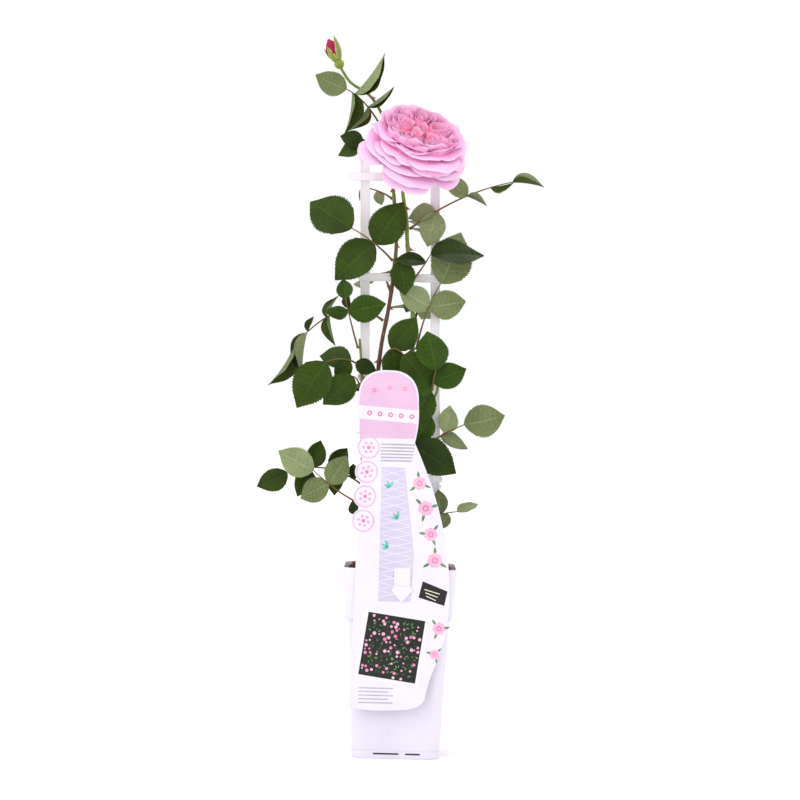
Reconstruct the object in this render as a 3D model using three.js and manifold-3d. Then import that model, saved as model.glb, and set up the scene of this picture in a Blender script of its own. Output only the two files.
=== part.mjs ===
/*
 * A young rose bush in its square plastic pot, tied to a small ladder of white plastic, with one open
 * double bloom, one bud and a die-cut card hung on the rim.
 * Millimetres, +Z up, +Y to the back. The origin is the middle of the pot's flat underside.
 */
import * as THREE from 'three';
import Module from 'manifold-3d';

const wasm = await Module();
wasm.setup();

// ---------------------------------------------------------------- driving dimensions

const POT = {
  rim: 120, height: 200, collarHeight: 54, collarFoot: 113, bodyTop: 106, bodyFoot: 92,
  corner: 13, wall: 1.6, floor: 3, seamHeight: 8, slotHeight: 1.8, slotWidths: [27, 16],
};
const SOIL = { edgeDrop: 8, crown: 3, plateau: 36, clearance: 0.4 };
const LADDER = {
  span: 75, lean: -0.026, railWidth: 10, railDepth: 5, lip: 1.4, foot: 60, top: 633,
  rungHeight: 8.6, rungDepth: 4.6, rungPitch: 106.6, rungs: 4, topRung: 613, overhangs: [12, 3, 3, 3],
};
const CARD = { front: -61.4, thickness: 0.8, clear: 0.3, discRadius: 12.5, clipWidth: 17 };
const CANE = { sides: 6, flare: 1.5, flareHeight: 26, gap: 0.3, cutHeight: 0.3 };
const PRICKLE = { length: 5.2, root: 2.6, pitch: 27, hook: 0.55 };
const LEAF = { thickness: 0.9, broad: 0.74, rachis: 1.15, fold: 0.16, curl: 0.16, gap: 0.3 };
const BLOOM = {
  centre: [6, -49, 641], axis: [0.25, -0.56, 0.79], petalThickness: 1.1, petalShare: 0.95,
};
const SEED = 20417;

const COLOUR = {
  pot: '#efe9f4', soil: '#5c3a30', ladder: '#f1eef2', card: '#eed3ea', clip: '#f6f2f6',
  ripeCane: '#6b4a34', greenCane: '#76843c', top: '#3c5220', bright: '#55702a', pale: '#8f9c72',
  petal: '#ee9fd2', bud: '#a5143f', calyx: '#8fa050',
};

// ---------------------------------------------------------------- small helpers

const vec = (x, y, z) => new THREE.Vector3(x, y, z);
const at = (list) => new THREE.Vector3(...list);
const radians = THREE.MathUtils.degToRad;
const clamp = THREE.MathUtils.clamp;

/** A repeatable stream of numbers from 0 to 1. */
function randomStream(seed) {
  let state = seed >>> 0;
  return () => {
    state = (Math.imul(state, 1664525) + 1013904223) >>> 0;
    return state / 4294967296;
  };
}

/** A closed solid from vertices and triangles, facing out. */
function closedSolid(points, faces) {
  let volume = 0;
  for (const [a, b, c] of faces) {
    volume += points[a].dot(points[b].clone().cross(points[c]));
  }
  const turned = volume < 0 ? faces.map(([a, b, c]) => [a, c, b]) : faces;
  const mesh = new wasm.Mesh({
    numProp: 3,
    vertProperties: new Float32Array(points.flatMap((p) => [p.x, p.y, p.z])),
    triVerts: new Uint32Array(turned.flat()),
  });
  return new wasm.Manifold(mesh);
}

/** Skins rings of equally many points. Each end closes in a point when one is given, else in a flat fan. */
function skin(rings, startPoint = null, endPoint = null) {
  const sides = rings[0].length;
  const points = rings.flat();
  const faces = [];
  for (let r = 0; r + 1 < rings.length; r += 1) {
    for (let i = 0; i < sides; i += 1) {
      const a = r * sides + i;
      const b = r * sides + ((i + 1) % sides);
      faces.push([a, b, a + sides], [b, b + sides, a + sides]);
    }
  }
  const last = (rings.length - 1) * sides;
  if (startPoint) {
    points.push(startPoint);
  }
  const startIndex = points.length - 1;
  if (endPoint) {
    points.push(endPoint);
  }
  const endIndex = points.length - 1;
  for (let i = 0; i < sides; i += 1) {
    const next = (i + 1) % sides;
    if (startPoint) {
      faces.push([startIndex, next, i]);
    } else if (i > 0 && next > 0) {
      faces.push([0, next, i]);
    }
    if (endPoint) {
      faces.push([endIndex, last + i, last + next]);
    } else if (i > 0 && next > 0) {
      faces.push([last, last + i, last + next]);
    }
  }
  return closedSolid(points, faces);
}

/** Joins solids that run into one another, and keeps the one main body. */
function joined(solids) {
  const whole = solids.slice(1).reduce((sum, solid) => sum.add(solid), solids[0]).simplify(0.02);
  const bodies = whole.decompose();
  return bodies.reduce((best, body) => (body.volume() > best.volume() ? body : best));
}

/** A round tube along a curve, with its radius told at each share of the way from 0 to 1. */
function tube(curve, steps, sides, radiusAt, level = false) {
  const frames = curve.computeFrenetFrames(steps, false);
  const rings = [];
  for (let s = 0; s <= steps; s += 1) {
    const share = s / steps;
    const centre = curve.getPointAt(share);
    const radius = radiusAt(share);
    const flat = level && s === 0;
    const across = flat ? vec(1, 0, 0) : frames.normals[s];
    const over = flat ? vec(0, 1, 0) : frames.binormals[s];
    const ring = [];
    for (let i = 0; i < sides; i += 1) {
      const turn = (2 * Math.PI * i) / sides;
      ring.push(centre.clone()
        .addScaledVector(across, radius * Math.cos(turn))
        .addScaledVector(over, radius * Math.sin(turn)));
    }
    rings.push(ring);
  }
  return skin(rings);
}

/** A level ring in the shape of a square with round corners. */
function squareRing(side, corner, z, perCorner = 4) {
  const half = side / 2 - corner;
  const ring = [];
  for (let q = 0; q < 4; q += 1) {
    const sx = q === 0 || q === 3 ? 1 : -1;
    const sy = q < 2 ? 1 : -1;
    for (let i = 0; i < perCorner; i += 1) {
      const turn = (Math.PI / 2) * (q + i / (perCorner - 1));
      ring.push(vec(sx * half + corner * Math.cos(turn), sy * half + corner * Math.sin(turn), z));
    }
  }
  return ring;
}

/** An upright box from its middle and its three sizes. */
function block(cx, cy, cz, width, depth, height) {
  const ring = (z) => [
    vec(cx - width / 2, cy - depth / 2, z), vec(cx + width / 2, cy - depth / 2, z),
    vec(cx + width / 2, cy + depth / 2, z), vec(cx - width / 2, cy + depth / 2, z),
  ];
  return skin([ring(cz - height / 2), ring(cz + height / 2)]);
}

/** A plate cut from a flat outline in X and Z, from its front face back by its thickness. */
function plate(outline, front, thickness) {
  const faces = THREE.ShapeUtils.triangulateShape(outline, []);
  const count = outline.length;
  const points = [front, front + thickness].flatMap((y) => outline.map((p) => vec(p.x, y, p.y)));
  const skinFaces = [];
  for (const [a, b, c] of faces) {
    skinFaces.push([a, b, c], [a + count, c + count, b + count]);
  }
  const turn = THREE.ShapeUtils.isClockWise(outline) ? 1 : -1;
  for (let i = 0; i < count; i += 1) {
    const next = (i + 1) % count;
    const side = [[i, i + count, next], [next, i + count, next + count]];
    skinFaces.push(...side.map(([a, b, c]) => (turn > 0 ? [a, c, b] : [a, b, c])));
  }
  return closedSolid(points, skinFaces);
}

// ---------------------------------------------------------------- the object and what is in the way

const plant = new THREE.Group();
plant.name = 'rose_bush';
const obstacles = [];

/** A finish for one sub-part. */
function finish(colour, roughness = 0.6) {
  return new THREE.MeshStandardMaterial({ color: colour, roughness, metalness: 0 });
}

/** Adds one solid to the object as a named mesh, and remembers where it lies. */
function addNode(name, solid, material, keepOut = solid) {
  const mesh = solid.getMesh();
  const geometry = new THREE.BufferGeometry();
  const stride = mesh.numProp;
  const positions = new Float32Array((mesh.vertProperties.length / stride) * 3);
  for (let i = 0; i * stride < mesh.vertProperties.length; i += 1) {
    positions.set(mesh.vertProperties.slice(i * stride, i * stride + 3), i * 3);
  }
  geometry.setAttribute('position', new THREE.BufferAttribute(positions, 3));
  geometry.setIndex(new THREE.BufferAttribute(new Uint32Array(mesh.triVerts), 1));
  geometry.computeVertexNormals();
  const node = new THREE.Mesh(geometry, material);
  node.name = name;
  plant.add(node);
  remember(keepOut);
}

function remember(solid) {
  const box = solid.boundingBox();
  obstacles.push({ solid, low: box.min, high: box.max });
}

/** True when a solid runs into anything built before. */
function clashes(solid) {
  const { min, max } = solid.boundingBox();
  return obstacles.some(({ solid: other, low, high }) => {
    const apart = [0, 1, 2].some((k) => min[k] > high[k] || max[k] < low[k]);
    return !apart && other.intersect(solid).volume() > 1e-6;
  });
}

// ---------------------------------------------------------------- pot and soil

function buildPot() {
  const outerAt = (z) => {
    const share = z / (POT.height - POT.collarHeight);
    return THREE.MathUtils.lerp(POT.bodyFoot, POT.bodyTop, Math.min(share, 1));
  };
  const collarFootZ = POT.height - POT.collarHeight;
  const outside = [
    squareRing(POT.bodyFoot - 1.6, POT.corner, 0),
    squareRing(POT.bodyFoot, POT.corner, 1),
    squareRing(outerAt(POT.seamHeight), POT.corner, POT.seamHeight),
    squareRing(outerAt(POT.seamHeight) - 1, POT.corner, POT.seamHeight + 0.4),
    squareRing(POT.bodyTop, POT.corner, collarFootZ - 2),
    squareRing(POT.collarFoot, POT.corner + 2, collarFootZ),
    squareRing(POT.rim, POT.corner + 3, POT.height - 1.2),
    squareRing(POT.rim - 1.2, POT.corner + 2.6, POT.height),
  ];
  const hollow = [
    squareRing(POT.bodyFoot - 2 * POT.wall - 1, POT.corner - POT.wall, POT.floor),
    squareRing(POT.bodyTop - 2 * POT.wall, POT.corner - POT.wall, collarFootZ - 2),
    squareRing(POT.collarFoot - 2 * POT.wall, POT.corner, collarFootZ + 2),
    squareRing(POT.rim - 2 * POT.wall, POT.corner + 1, POT.height + 1),
  ];
  const [longSlot, shortSlot] = POT.slotWidths;
  let pot = skin(outside).subtract(skin(hollow));
  for (let side = 0; side < 4; side += 1) {
    const slots = [[-10, longSlot], [18, shortSlot]].map(([x, width]) => (
      block(x, -POT.bodyFoot / 2, POT.floor + 2.2, width, 12, POT.slotHeight)
    ));
    for (const slot of slots) {
      pot = pot.subtract(slot.rotate([0, 0, 90 * side]));
    }
  }
  addNode('pot', pot, finish(COLOUR.pot, 0.42));
}

function railAt(z, side) {
  return (side * LADDER.span) / 2 + LADDER.lean * (z - POT.height);
}

/** One upright of the ladder: a flat bar with a thin lip down its outer edge. */
function railSolid(side, grow = 0) {
  const half = LADDER.railWidth / 2 + grow;
  const deep = LADDER.railDepth / 2 + grow;
  const lip = LADDER.lip;
  const ring = (z) => {
    const x = railAt(z, side);
    return [
      vec(x - half, -deep, z), vec(x + half, -deep, z), vec(x + half, deep, z),
      vec(x + half - lip - 2 * grow, deep + 1, z), vec(x - half + lip + 2 * grow, deep + 1, z),
      vec(x - half, deep, z),
    ];
  };
  return skin([ring(LADDER.foot - grow), ring(LADDER.top + grow)]);
}

function buildSoil() {
  const gap = 2 * SOIL.clearance;
  const collarFootZ = POT.height - POT.collarHeight;
  const edgeZ = POT.height - SOIL.edgeDrop;
  const crownZ = POT.height + SOIL.crown;
  const rings = [
    squareRing(POT.bodyFoot - 2 * POT.wall - 1 - gap, POT.corner - POT.wall, POT.floor + SOIL.clearance),
    squareRing(POT.bodyTop - 2 * POT.wall - gap, POT.corner - POT.wall, collarFootZ - 2),
    squareRing(POT.collarFoot - 2 * POT.wall - gap, POT.corner, collarFootZ + 2.4),
    squareRing(POT.rim - 2 * POT.wall - gap - 1.4, POT.corner + 1, edgeZ),
    squareRing(1.36 * 2 * SOIL.plateau, POT.corner + 6, crownZ - 3),
    squareRing(2 * SOIL.plateau, 18, crownZ),
  ];
  const pockets = [-1, 1].map((side) => railSolid(side, 0.3));
  const soil = pockets.reduce((rest, pocket) => rest.subtract(pocket), skin(rings));
  addNode('soil', soil, finish(COLOUR.soil, 0.95));
}

// ---------------------------------------------------------------- ladder

/** A rung: a bar with round ends, laid across the front of both uprights. */
function rungSolid(z, overhang, grow = 0) {
  const left = railAt(z, -1) - LADDER.railWidth / 2 - overhang;
  const right = railAt(z, 1) + LADDER.railWidth / 2 + overhang;
  const radius = LADDER.rungHeight / 2 + grow;
  const outline = [];
  for (const [centre, start] of [[right - radius, -90], [left + radius, 90]]) {
    for (let i = 0; i <= 6; i += 1) {
      const turn = radians(start + 30 * i);
      outline.push(new THREE.Vector2(centre + radius * Math.cos(turn), z + radius * Math.sin(turn)));
    }
  }
  const front = -LADDER.railDepth / 2 - 0.3 - LADDER.rungDepth;
  return plate(outline, front - grow, LADDER.rungDepth + 2 * grow);
}

function buildLadder() {
  addNode('rail_left', railSolid(-1), finish(COLOUR.ladder, 0.4), railSolid(-1, 0.3));
  addNode('rail_right', railSolid(1), finish(COLOUR.ladder, 0.4), railSolid(1, 0.3));
  for (let i = 0; i < LADDER.rungs; i += 1) {
    const z = LADDER.topRung - i * LADDER.rungPitch;
    const overhang = LADDER.overhangs[i];
    addNode(`rung_${i + 1}`, rungSolid(z, overhang), finish(COLOUR.ladder, 0.4), rungSolid(z, overhang, 0.3));
  }
}

// ---------------------------------------------------------------- card and its clip

/** The card's outline from its round head, the discs down its left edge and its swelling skirt. */
function cardOutline() {
  const outline = new THREE.Shape();
  outline.moveTo(-44, 54);
  outline.quadraticCurveTo(-20, 50, 12, 54);
  outline.quadraticCurveTo(24, 56, 29, 64);
  outline.bezierCurveTo(33, 96, 52, 118, 52, 160);
  outline.bezierCurveTo(53, 212, 45, 262, 12, 332);
  outline.quadraticCurveTo(17, 352, 15, 372);
  outline.bezierCurveTo(16, 398, 2, 408, -17, 407);
  outline.bezierCurveTo(-36, 408, -48, 398, -48, 380);
  outline.quadraticCurveTo(-50, 371, -48, 362);
  outline.lineTo(-46, 336);
  for (let i = 0; i < 4; i += 1) {
    const z = 326 - 25.5 * i;
    const reach = CARD.discRadius;
    outline.absarc(-36 - 1.2 * i, z, reach, radians(118), radians(238), false);
  }
  outline.quadraticCurveTo(-46, 200, -50, 60);
  outline.quadraticCurveTo(-50, 54, -44, 54);
  return outline.getPoints(5).slice(0, -1);
}

function buildCard() {
  const half = CARD.clipWidth / 2;
  const centre = 2.5;
  const slit = block(centre, CARD.front, POT.height + 1, CARD.clipWidth + 0.8, 4, 1.6);
  const card = plate(cardOutline(), CARD.front, CARD.thickness).subtract(slit);
  addNode('label_card', card, finish(COLOUR.card, 0.45));
  const front = CARD.front - CARD.clear - CARD.thickness;
  const inner = -POT.rim / 2 + POT.wall + 1.6;
  const profile = [
    [front, 168], [front + 0.8, 168], [front + 0.8, 200.6], [inner, 200.6], [inner, 193.5],
    [inner + 0.8, 193.5], [inner + 0.8, 201.4], [front, 201.4],
  ].map(([y, z]) => new THREE.Vector2(y, z));
  const strap = plate(profile, 0, CARD.clipWidth).rotate([0, 0, 90]);
  const tongue = plate([
    new THREE.Vector2(-half, 183), new THREE.Vector2(-half - 3, 178), new THREE.Vector2(0, 165),
    new THREE.Vector2(half + 3, 178), new THREE.Vector2(half, 183),
  ], front, 0.8);
  const bent = strap.translate([half + centre, 0, 0]);
  addNode('label_clip', joined([bent, tongue.translate([centre, 0, 0])]), finish(COLOUR.clip, 0.4));
}

// ---------------------------------------------------------------- canes

/** Each cane: its way up from the soil, its thickness at foot and tip, and whether it is ripe wood. */
const SOIL_TOP = POT.height + SOIL.crown + CANE.cutHeight;
const CANES = {
  thorny: {
    way: [
      [-10, -6, SOIL_TOP], [-13, -10, 237], [-20, -13, 291], [-26, -13, 344], [-29, -13, 392],
      [-26, -13, 434], [-19, -14, 475], [-15, -14, 509], [-13, -14, 541], [-15, -13, 573],
      [-18, -13, 604], [-20, -13.5, 621], [-26, -2, 648], [-32, 2, 680], [-46, -3, 700], [-66, -7, 712.5], [-76, -8, 726],
    ],
    foot: 2.7, tip: 1.5, colour: COLOUR.ripeCane,
  },
  blooming: {
    way: [
      [3, -5, SOIL_TOP], [2, -11, 262], [1, -13, 323], [5, -13, 377], [7, -13, 430],
      [5, -14, 494], [-1, -14, 542], [-3, -14, 570], [-6, -15, 586], [-7.4, -18.6, 597.4],
      [-4.25, -26.08, 608.58],
    ],
    foot: 3, tip: 1.9, colour: COLOUR.greenCane,
  },
  leafy: {
    way: [
      [15, -4, SOIL_TOP], [13, -12, 270], [14, -14, 334], [20, -17, 361], [34, -22, 386], [34, -26, 405],
    ],
    foot: 2.4, tip: 1.3, colour: COLOUR.greenCane,
  },
  arching: {
    way: [
      [-22, -3, SOIL_TOP], [-30, -13, 248], [-41, -17, 301], [-45, -18, 354], [-46, -18, 402],
      [-49, -18, 440],
    ],
    foot: 2.3, tip: 1.2, colour: COLOUR.greenCane,
  },
};

/** Where a cane's middle is, and how thick it is, at a height. */
function canePlace(name, height) {
  const { curve, radiusAt } = CANES[name];
  let low = 0;
  let high = 1;
  for (let i = 0; i < 24; i += 1) {
    const middle = (low + high) / 2;
    if (curve.getPointAt(middle).z < height) {
      low = middle;
    } else {
      high = middle;
    }
  }
  return { point: curve.getPointAt(low), radius: radiusAt(low), tangent: curve.getTangentAt(low) };
}

/** A hooked prickle that points out and down from a broad root in the bark. */
function prickle(place, outward, length) {
  const down = place.tangent.clone().negate();
  const across = outward.clone().cross(down).normalize();
  const root = place.point.clone().addScaledVector(outward, place.radius * 0.55);
  const ring = [0, 1, 2, 3].map((i) => {
    const turn = (Math.PI / 2) * i;
    return root.clone()
      .addScaledVector(down, Math.cos(turn) * PRICKLE.root)
      .addScaledVector(across, Math.sin(turn) * PRICKLE.root * 0.42);
  });
  const middle = ring.map((p) => p.clone().lerp(root, 0.55)
    .addScaledVector(outward, length * 0.55).addScaledVector(down, length * PRICKLE.hook * 0.25));
  const tip = root.clone().addScaledVector(outward, length + place.radius * 0.45)
    .addScaledVector(down, length * PRICKLE.hook);
  return skin([ring, middle], null, tip);
}

function buildCanes() {
  for (const [name, cane] of Object.entries(CANES)) {
    cane.curve = new THREE.CatmullRomCurve3(cane.way.map(at), false, 'centripetal');
    const length = cane.curve.getLength();
    cane.radiusAt = (share) => {
      const flare = Math.max(0, 1 - (share * length) / CANE.flareHeight);
      return THREE.MathUtils.lerp(cane.foot, cane.tip, share) + CANE.flare * flare * flare;
    };
    const steps = Math.round(length / 21);
    const random = randomStream(SEED + name.length);
    const parts = [tube(cane.curve, steps, CANE.sides, cane.radiusAt, true)];
    const top = cane.way[cane.way.length - 1][2];
    let side = random() * 360;
    for (let z = POT.height + 34; z < top - 22; z += PRICKLE.pitch * (0.7 + 0.6 * random())) {
      const place = canePlace(name, z);
      side += 110 + 70 * random();
      const turn = radians(side);
      const flat = vec(Math.cos(turn), Math.sin(turn), 0);
      const outward = flat.addScaledVector(place.tangent, -flat.dot(place.tangent)).normalize();
      parts.push(prickle(place, outward, PRICKLE.length * (0.75 + 0.4 * random())));
    }
    const keepOut = tube(cane.curve, steps, CANE.sides, (share) => cane.radiusAt(share) + CANE.gap, true);
    const thorny = parts.filter((part, i) => i === 0 || !clashes(part));
    addNode(`cane_${name}`, joined(thorny), finish(cane.colour, 0.55), joined([keepOut, ...thorny]));
  }
}

// ---------------------------------------------------------------- leaves

/** The half width of a leaflet at a share of its length, as a share of its greatest half width. */
function leafletWidth(share) {
  return Math.sin(Math.PI * share ** 0.82) ** 0.78;
}

/** One leaflet: a shallow folded blade that curls back towards its tip. */
function leafletSolid({ root, along, face, length, broad = LEAF.broad, curl = LEAF.curl, grow = 0 }) {
  const across = along.clone().cross(face).normalize();
  const normal = across.clone().cross(along).normalize();
  const halfWidth = (length * broad) / 2;
  const middleAt = (share) => root.clone()
    .addScaledVector(along, length * share)
    .addScaledVector(normal, -length * curl * share * share);
  const rings = [0.13, 0.34, 0.58, 0.8, 0.93].map((share) => {
    const middle = middleAt(share);
    const half = halfWidth * leafletWidth(share) + grow;
    const lift = half * LEAF.fold * (1 - 0.4 * share);
    const thick = LEAF.thickness / 2 + grow;
    return [
      middle.clone().addScaledVector(across, -half).addScaledVector(normal, lift),
      middle.clone().addScaledVector(normal, thick),
      middle.clone().addScaledVector(across, half).addScaledVector(normal, lift),
      middle.clone().addScaledVector(normal, -thick),
    ];
  });
  return skin(rings, root.clone().addScaledVector(along, -grow), middleAt(1 + grow / length));
}

/** Two vectors that span the plane of a leaf, so that 0 degrees is to its right and 90 is up. */
function leafPlane(facing) {
  const normal = at(facing).normalize();
  const right = vec(0, 0, 1).cross(normal).normalize();
  const up = normal.clone().cross(right);
  return { normal, right, up };
}

/** The pairs of a leaf that follows the plain rule: even stations, shorter towards the stalk. */
function pairs(count, bearing, length, spread = 72) {
  const list = [];
  for (let i = 0; i < count; i += 1) {
    const share = 0.86 - 0.34 * i;
    const size = length * (0.88 - 0.13 * i);
    list.push([share, bearing - spread, size], [share, bearing + spread, size]);
  }
  return list;
}

/*
 * The leaves. Each has the cane and the height that it springs from, how far its stalk reaches (right, back,
 * up), how far the stalk's middle rises above the straight line, the way its blades face, the bearing
 * and length of its end leaflet, and its side leaflets as [share of the stalk, bearing, length, turn].
 * Bearings are degrees in the leaf's own plane, from its right towards up.
 */
const FRONT = [0.05, -1, 0.12];
const LEAVES = [
  { name: 'bud_leaf', cane: 'thorny', from: 665, reach: [-42, -14, 38], rise: 5, facing: [0.1, -1, -0.2],
    end: [160, 36, 12], sides: [[0.8, 49, 54, 35], [0.85, -92, 44, 40], [0.46, 34, 36, 24],
      [0.45, -120, 32, 55]], colour: COLOUR.pale },
  { name: 'bloom_side_leaf', cane: 'thorny', from: 640, reach: [-27, 4, 9], rise: 2, facing: [-0.1, -1, 0.1],
    end: [163, 27, 0], sides: [[0.8, -163, 35, 25], [0.5, -105, 18, 30]], colour: COLOUR.top },
  { name: 'rung_side_leaf', cane: 'thorny', from: 590, reach: [-29, 16, 12], rise: 1, facing: [0.1, -1, 0.1],
    end: [-120, 16, 10], sides: [[0.6, -74, 16, 20]], colour: COLOUR.pale },
  { name: 'high_right_leaf', cane: 'blooming', from: 558, reach: [113, 14, 54], rise: 7,
    facing: [0, -1, -0.35], end: [2, 34, 78], sides: [[0.27, -168, 31, 45], [0.27, -101, 38, 5],
      [0.57, 140, 34, 20], [0.57, -18, 24, 55], [0.79, 3, 25, 70]], colour: COLOUR.pale },
  { name: 'shoulder_leaf', cane: 'blooming', from: 505, reach: [20, -12, 26], rise: -3, facing: [0.1, -1, 0.5],
    end: [11, 60, 24], sides: [[0.7, 176, 34, 28]], colour: COLOUR.top },
  { name: 'left_upper_leaf', cane: 'thorny', from: 524, reach: [-47, -22, 32], rise: 2, facing: [-0.15, -1, 0.35],
    end: [145, 62, 0], sides: [[0.45, 56, 53, 10], [0.48, -136, 57, 5]], colour: COLOUR.top },
  { name: 'inner_leaf', cane: 'thorny', from: 519, reach: [5, -16, 4], rise: 1, facing: FRONT,
    end: [-78, 37, 8], sides: [], colour: COLOUR.top },
  { name: 'pale_right_leaf', cane: 'blooming', from: 430, reach: [29, 2, 72], rise: 5,
    facing: [0.2, -1, -0.3], end: [66, 61, 5], sides: [[0.62, 150, 38, 10], [0.62, 9, 43, 10]],
    colour: COLOUR.pale },
  { name: 'middle_leaf', cane: 'thorny', from: 416, reach: [26, -20, 8], rise: 10, facing: FRONT,
    end: [-47, 50, 5], sides: [[0.5, 51, 43, 10], [0.5, -78, 42, 20]], colour: COLOUR.top },
  { name: 'bright_leaf', cane: 'leafy', from: 372, reach: [6, -14, 37], rise: 3, facing: [0.1, -1, 0.25],
    end: [100, 47, 0], sides: [[0.6, 25, 40, 0], [0.35, -125, 45, 10], [0.45, 176, 33, 15]],
    colour: COLOUR.bright },
  { name: 'bright_low_leaf', cane: 'leafy', from: 345, reach: [14, -15, 14], rise: 2, facing: [0.1, -1, 0.2],
    end: [-125, 32, 10], sides: [], colour: COLOUR.bright },
  { name: 'drooping_leaf', cane: 'thorny', from: 460, reach: [-98, 12, -30], rise: 24, facing: [-0.1, -1, 0.1],
    end: [-115, 51, 64], sides: [[0.82, -102, 48, 66], [0.8, 78, 18, 30], [0.55, -84, 33, 62],
      [0.58, 72, 27, 60], [0.3, 12, 24, 60], [0.32, 108, 26, 45]], colour: COLOUR.top },
  { name: 'stalked_leaf', cane: 'arching', from: 430, reach: [-17, -12, 52], rise: -6, facing: [0, -1, 0.1],
    end: [99, 24, 0], sides: [[0.74, 11, 41, 18], [0.74, -173, 25, 45]], colour: COLOUR.bright },
  { name: 'left_middle_leaf', cane: 'arching', from: 412, reach: [-38, -16, 2], rise: 5,
    facing: [-0.1, -1, 0.2], end: [-120, 57, 5], sides: [[0.25, 168, 36, 15], [0.3, -121, 26, 20],
      [0.12, -21, 24, 15]], colour: COLOUR.top },
  { name: 'left_inner_leaf', cane: 'arching', from: 388, reach: [-9, -14, 12], rise: 2, facing: FRONT,
    end: [-134, 44, 15], sides: [], colour: COLOUR.top },
  { name: 'low_left_leaf', cane: 'arching', from: 262, reach: [-62, -6, 38], rise: -5, facing: [-0.1, -1, -0.1],
    end: [153, 43, 0], sides: [[0.68, -153, 37, 15], [0.68, 59, 36, 5]], colour: COLOUR.pale },
  { name: 'low_left_back_leaf', cane: 'arching', from: 284, reach: [-86, 22, 11], rise: 12,
    facing: [-0.1, -1, 0.3], end: [-153, 37, 25], sides: [[0.68, 73, 32, 25], [0.72, -106, 33, 25],
      [0.46, 52, 30, 20], [0.4, -85, 27, 20], [0.14, 94, 18, 20]], colour: COLOUR.top },
  { name: 'low_right_leaf', cane: 'leafy', from: 322, reach: [52, 12, 30], rise: 2, facing: [0.1, -1, 0.1],
    end: [15, 48, 0], sides: [[0.6, 78, 31, 15], [0.5, -16, 33, 45]], colour: COLOUR.pale },
  { name: 'big_dark_leaf', cane: 'leafy', from: 312, reach: [-3, -24, 18], rise: 3, facing: [0.1, -1, 0.25],
    end: [-31, 55, 5], sides: [], colour: COLOUR.top },
  { name: 'rim_right_leaf', cane: 'leafy', from: 246, reach: [46, -14, 14], rise: 2, facing: [0.1, -1, 0.1],
    end: [29, 25, 55], sides: [[0.75, -111, 19, 10], [0.6, 99, 27, 25]], colour: COLOUR.pale },
  { name: 'rim_left_leaf', cane: 'arching', from: 232, reach: [-20, -16, 22], rise: 1, facing: [-0.1, -1, 0.1],
    end: [110, 22, 20], sides: [[0.8, -80, 20, 20]], colour: COLOUR.top },
  { name: 'back_high_leaf', cane: 'blooming', from: 536, reach: [-8, 62, 34], rise: 8, facing: [0.1, -0.1, 1],
    end: [88, 46, 0], sides: pairs(2, 88, 46), colour: COLOUR.top },
  { name: 'back_left_leaf', cane: 'thorny', from: 492, reach: [-24, 66, 12], rise: 12, facing: [-0.3, -0.1, 1],
    end: [110, 48, 0], sides: pairs(2, 110, 48), colour: COLOUR.top },
  { name: 'back_right_leaf', cane: 'blooming', from: 462, reach: [22, 62, 8], rise: 12, facing: [0.3, 0.1, 1],
    end: [62, 48, 0], sides: pairs(2, 62, 48), colour: COLOUR.top },
  { name: 'back_middle_leaf', cane: 'thorny', from: 366, reach: [4, 70, 18], rise: 12, facing: [0.1, 0.2, 1],
    end: [88, 50, 0], sides: pairs(2, 88, 50), colour: COLOUR.top },
  { name: 'back_low_leaf', cane: 'leafy', from: 266, reach: [10, 68, 20], rise: 8, facing: [0.2, 0.2, 1],
    end: [84, 48, 0], sides: pairs(2, 84, 46), colour: COLOUR.bright },
  { name: 'back_low_left_leaf', cane: 'arching', from: 326, reach: [52, 66, 20], rise: 10,
    facing: [0.1, 0.2, 1], end: [76, 46, 0], sides: pairs(2, 76, 46), colour: COLOUR.top },
];

/** The stalk of a leaf as a curve, starting just clear of its cane. */
function stalkCurve(leaf, shift, clear) {
  const place = canePlace(leaf.cane, leaf.from);
  const reach = at(leaf.reach).add(vec(0, shift, 0));
  const tip = place.point.clone().add(reach);
  const middle = place.point.clone().addScaledVector(reach, 0.5).add(vec(0, 0, leaf.rise));
  const flat = vec(middle.x - place.point.x, middle.y - place.point.y, 0).normalize();
  const start = place.point.clone().addScaledVector(flat, place.radius + CANE.gap + clear);
  return new THREE.QuadraticBezierCurve3(start, middle.multiplyScalar(2).sub(start.clone().add(tip)
    .multiplyScalar(0.5)), tip);
}

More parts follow.
